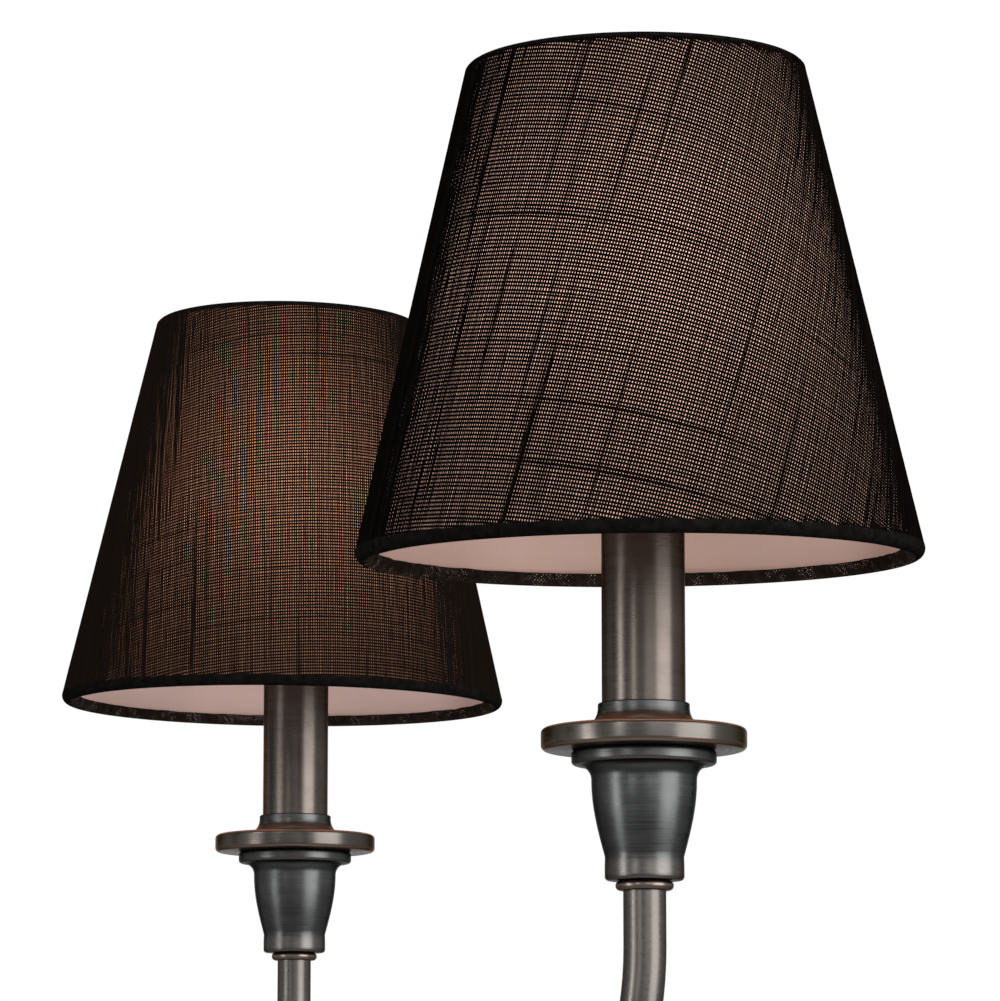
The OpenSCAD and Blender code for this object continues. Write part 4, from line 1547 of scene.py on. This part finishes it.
@dataclass
class Centre:
    """The hub, its bell and finial, the column above it and the stem."""

    hub_r: float = 19.0
    hub_h: float = 28.0
    level: float = -29.14
    bell_h: float = 30.0
    bell_r: float = 13.5
    stem_r: float = 6.35
    stem_wall: float = 1.5
    stem_top: float = -75.3
    finial_seat: float = 8.0
    ball_r: float = 9.5
    tip_share: float = 0.8
    tip_start: float = 35.0
    column_len: float = 150.0
    cap_bell: float = 20.0
    fit: float = 0.1
    seam: float = 20.0

    @property
    def bore(self) -> float:
        """Radius of a hole that the stem passes."""
        return self.stem_r + self.fit

    def _finial(self, metal: LampMetal) -> Profile:
        """Draws the finial, hanging below its bead.

        Args:
            metal: the lamps' turned pieces, whose sizes it repeats.

        Returns:
            The outline.
        """
        tip, rim, ball = metal.ring_h, metal.foot_r, self.ball_r
        edge, ball_z = tip / 2, -tip - math.sqrt(ball**2 - (rim - tip) ** 2)
        profile = Profile().to(0.0, -self.finial_seat).to(self.bore, -self.finial_seat).to(self.bore, 0.0)
        profile.to(rim - edge, 0.0).arc(rim - edge, -edge, edge, 90, -90, rub=0.8)
        start, low = math.asin((-tip - ball_z) / ball), -math.acos(tip / ball * self.tip_share)
        steps = 32
        for i in range(steps + 1):
            angle = start + (low - start) * i / steps
            profile.to(ball * math.cos(angle), ball_z + ball * math.sin(angle), rub=0.3)
        return profile.arc(0.0, ball_z - ball, tip, self.tip_start, -90, rub=0.8, steps=12)

    def _cap(self, metal: LampMetal) -> Profile:
        """Draws the cap on the column.

        Args:
            metal: the lamps' turned pieces, whose sizes it repeats.

        Returns:
            The outline.
        """
        seat, flare, inside = metal.seat_depth, metal.flare_r, metal.sleeve_r + self.fit
        high = seat + flare + metal.flange_t + self.cap_bell
        profile = Profile().to(inside, 0.0).to(metal.collar_r, 0.0)
        profile.arc(metal.collar_r + flare, seat, flare, 180, 90, rub=0.4)
        metal.flange(profile, metal.flange_r, seat + flare)
        steps = 16
        for i in range(steps, -1, -1):
            r = metal.foot_r + (metal.body_r - metal.foot_r) * math.sin(math.pi / 2 * i / steps)
            profile.to(r, high - self.cap_bell * i / steps, rub=0.0 if i else 0.5)
        return profile.to(self.bore, high).to(self.bore, seat).to(inside, seat)

    def build(self, metal: LampMetal, layout: Layout, finishes: Materials) -> None:
        """Makes every piece of the centre.

        Args:
            metal: the lamps' turned pieces, whose outlines it repeats.
            layout: where the lamps stand.
            finishes: the materials.
        """
        hub_z = -layout.drop + self.level
        top, bell_foot = hub_z + self.hub_h / 2, hub_z - self.hub_h / 2 - self.bell_h
        column_z = top + metal.collar_h - metal.seat_depth
        cap_z = column_z + self.column_len - metal.seat_depth
        bell = metal.bell(metal.foot_r, self.bell_r, self.hub_r, self.bell_h, self.bore)
        tube = metal.pipe(metal.sleeve_r, metal.sleeve_r - metal.sleeve_wall, 0.0, self.column_len)
        low, inside = bell_foot - self.finial_seat, self.stem_r - self.stem_wall
        pieces = (
            ("hub_bell", bell, "gunmetal", bell_foot, "gunmetal", self.seam),
            ("hub_finial", self._finial(metal), "satin", bell_foot, "satin_bronze", self.seam),
            ("column_pan", metal.collared_pan(self.bore), "pan", top, "copper_bronze", self.seam),
            ("column_tube", tube, "sleeve", column_z, "brushed_bronze", self.seam),
            ("column_cap", self._cap(metal), "gunmetal", cap_z, "gunmetal", self.seam),
            ("stem", metal.pipe(self.stem_r, inside, low, self.stem_top), "satin", 0.0, "satin_bronze", 0.0),
        )
        for node, profile, finish, height, slot, seam in pieces:
            piece = revolve(f"turned_{node}", profile, [finishes[finish]], seam=seam)
            settle(piece, raised(height), "fixture", [node])


@dataclass
class CeilingFitting:
    """The canopy and the ring that holds it up."""

    canopy_r: float = 63.5
    canopy_h: float = 25.0
    rim_h: float = 4.0
    rim_edge: float = 0.3
    flat_r: float = 20.0
    wall: float = 1.2
    hole_r: float = 8.3
    ring_r: float = 13.0
    ring_h: float = 6.0
    ring_bore: float = 8.1

    def _dome(self, inset: float, steps: int = 36) -> list[Point2]:
        """Draws the dome from its rim to its flat.

        Args:
            inset: how far it is drawn in.
            steps: number of straight pieces.

        Returns:
            The outline's points.
        """
        span, depth = self.canopy_r - inset - self.flat_r, self.canopy_h - self.rim_h - inset
        turns = [math.pi / 2 * i / steps for i in range(steps + 1)]
        return [(self.flat_r + span * math.cos(a), -self.rim_h - depth * math.sin(a)) for a in turns]

    def build(self, metal: LampMetal, finishes: Materials) -> None:
        """Makes the canopy and its ring.

        Args:
            metal: the lamps' turned pieces, whose bead the ring repeats.
            finishes: the materials.
        """
        profile = Profile().to(self.canopy_r - self.wall, 0.0).to(self.canopy_r - self.rim_edge, 0.0, rub=0.6)
        profile.to(self.canopy_r, -self.rim_edge, rub=0.6)
        for point in self._dome(0.0):
            profile.to(*point)
        profile.to(self.hole_r, -self.canopy_h).to(self.hole_r, -self.canopy_h + self.wall)
        for point in reversed(self._dome(self.wall)):
            profile.to(*point)
        canopy = revolve("spun_canopy", profile, [finishes["gunmetal"]], segments=192)
        settle(canopy, Matrix.Identity(4), "ceiling", ["canopy"])
        bead = metal.bead(self.ring_r, self.ring_bore, self.ring_h, -self.canopy_h - self.ring_h)
        ring = revolve("turned_canopy_ring", bead, [finishes["satin"]])
        settle(ring, Matrix.Identity(4), "ceiling", ["canopy_ring"])


class Hardware:
    """Solids that keep their own meshes and get a finish."""

    def dress(self, finishes: Materials, lamps: int) -> None:
        """Gives each kept solid its material.

        Args:
            finishes: the materials.
            lamps: how many lamps there are.
        """
        kept = {
            "zinc": ["mounting_strap", "hanger_stud"],
            "tube": ["swivel_fork", "swivel_pin", "swivel_tongue", "hub_body"],
            "brass": ["arm_nipples", "cup_nuts"],
            "plastic": ["lamp_sockets"],
            "wire": [f"shade_{kind}_{tag}" for tag in range(1, lamps + 1) for kind in ("spider", "ring")],
        }
        for finish, nodes in kept.items():
            for node in nodes:
                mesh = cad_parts[node].data
                mesh.materials.clear()
                mesh.materials.append(finishes[finish])
                LOG.info("%s: %s", node, finish)


@dataclass(frozen=True)
class Softbox:
    """A light's name, its direction from the lamps, how far above and away it is, its face and its brightness."""

    name: str
    azimuth: float
    height: float
    distance: float
    size: Point2
    level: float


@dataclass
class Studio:
    """Camera, lights, floor and the white round the object."""

    camera_at: tuple[float, float, float] = (558.4, -945.7, -498.3)
    camera_turn: float = 19.08
    camera_pitch: float = 8.791
    lens: float = 161.56
    sensor: float = 36.0
    clip: Point2 = (0.05, 60.0)
    look_at: tuple[float, float, float] = (220.0, 90.0, -330.0)
    floor_z: float = -2400.0
    ambient: float = 0.45
    boxes: tuple[Softbox, ...] = (
        Softbox("left_strip", -134.0, 150.0, 1700.0, (400.0, 1600.0), 10.2),
        Softbox("left_inner_strip", -98.0, 500.0, 1700.0, (170.0, 1150.0), 11.0),
        Softbox("right_box", -17.0, 200.0, 1700.0, (1350.0, 1600.0), 7.0),
        Softbox("right_fill", -56.0, 500.0, 1750.0, (800.0, 1150.0), 2.9),
        Softbox("top_box", -80.0, 1900.0, 700.0, (1500.0, 1500.0), 0.6),
    )

    def _camera(self) -> None:
        """Makes the camera at the photograph's viewpoint."""
        data = bpy.data.cameras.new("view")
        data.sensor_fit = "HORIZONTAL"
        data.sensor_width = self.sensor
        data.lens = self.lens
        data.clip_start, data.clip_end = self.clip
        camera = shown(bpy.data.objects.new("view", data))
        camera.location = Vector(self.camera_at) * MM
        camera.rotation_euler = (math.radians(90.0 + self.camera_pitch), 0.0, math.radians(self.camera_turn))
        bpy.context.scene.camera = camera

    def _light(self, box: Softbox) -> None:
        """Makes a softbox that faces the lamps.

        Args:
            box: the softbox.
        """
        data = bpy.data.lights.new(box.name, "AREA")
        data.shape = "RECTANGLE"
        data.size, data.size_y = box.size[0] * MM, box.size[1] * MM
        data.energy = box.level * math.pi * box.size[0] * box.size[1] * MM * MM
        light = shown(bpy.data.objects.new(box.name, data))
        aim = Vector(self.look_at) * MM
        light.location = aim + around(box.distance, math.radians(box.azimuth), box.height)
        light.rotation_euler = (aim - light.location).to_track_quat("-Z", "Y").to_euler()

    def _world(self) -> None:
        """Makes the world: white where it is seen or mirrored, softer as light."""
        world = bpy.data.worlds.new("white_room")
        bpy.context.scene.world = world
        world.use_nodes = True
        work = NodeWork(world.node_tree)
        ray = work.outputs(work.node("ShaderNodeLightPath"))
        seen = ray["Is Camera Ray"] + (ray["Is Glossy Ray"] + ray["Is Transmission Ray"])
        level = work.spread(seen, 0.0, 1.0, self.ambient, 1.0)
        work.feed(world.node_tree.nodes["Background"], {"Color": (1.0, 1.0, 1.0), "Strength": level})

    def _floor(self) -> None:
        """Makes a plain pale floor, far below."""
        mesh = bpy.data.meshes.new("floor")
        bm = bmesh.new()
        bmesh.ops.create_grid(bm, x_segments=8, y_segments=8, size=12.0)
        bm.to_mesh(mesh)
        bm.free()
        mesh.transform(raised(self.floor_z))
        mesh.materials.append(FloorFinish("pale_floor").material())
        shown(bpy.data.objects.new("floor", mesh))

    def build(self) -> None:
        """Makes the whole studio."""
        bpy.context.scene.view_settings.view_transform = "Standard"
        self._camera()
        self._world()
        self._floor()
        for box in self.boxes:
            self._light(box)


def main() -> None:
    """Builds the chandelier and its studio."""
    logging.basicConfig(level=logging.INFO, format="%(name)s: %(message)s")
    layout, metal, shade = Layout(), LampMetal(), ClothShade()
    Studio().build()
    finishes = {name: finish.material() for name, finish in FINISHES.items()}
    trees = GrowthTrees()
    BentArms().build(trees, layout, finishes)
    metal.build_rings(layout, finishes)
    for index in range(len(layout.seats)):
        metal.build(index, layout, finishes)
        shade.build(index, layout, trees, finishes)
    Centre().build(metal, layout, finishes)
    CeilingFitting().build(metal, finishes)
    Hardware().dress(finishes, len(layout.seats))


if __name__ == "__main__":
    main()
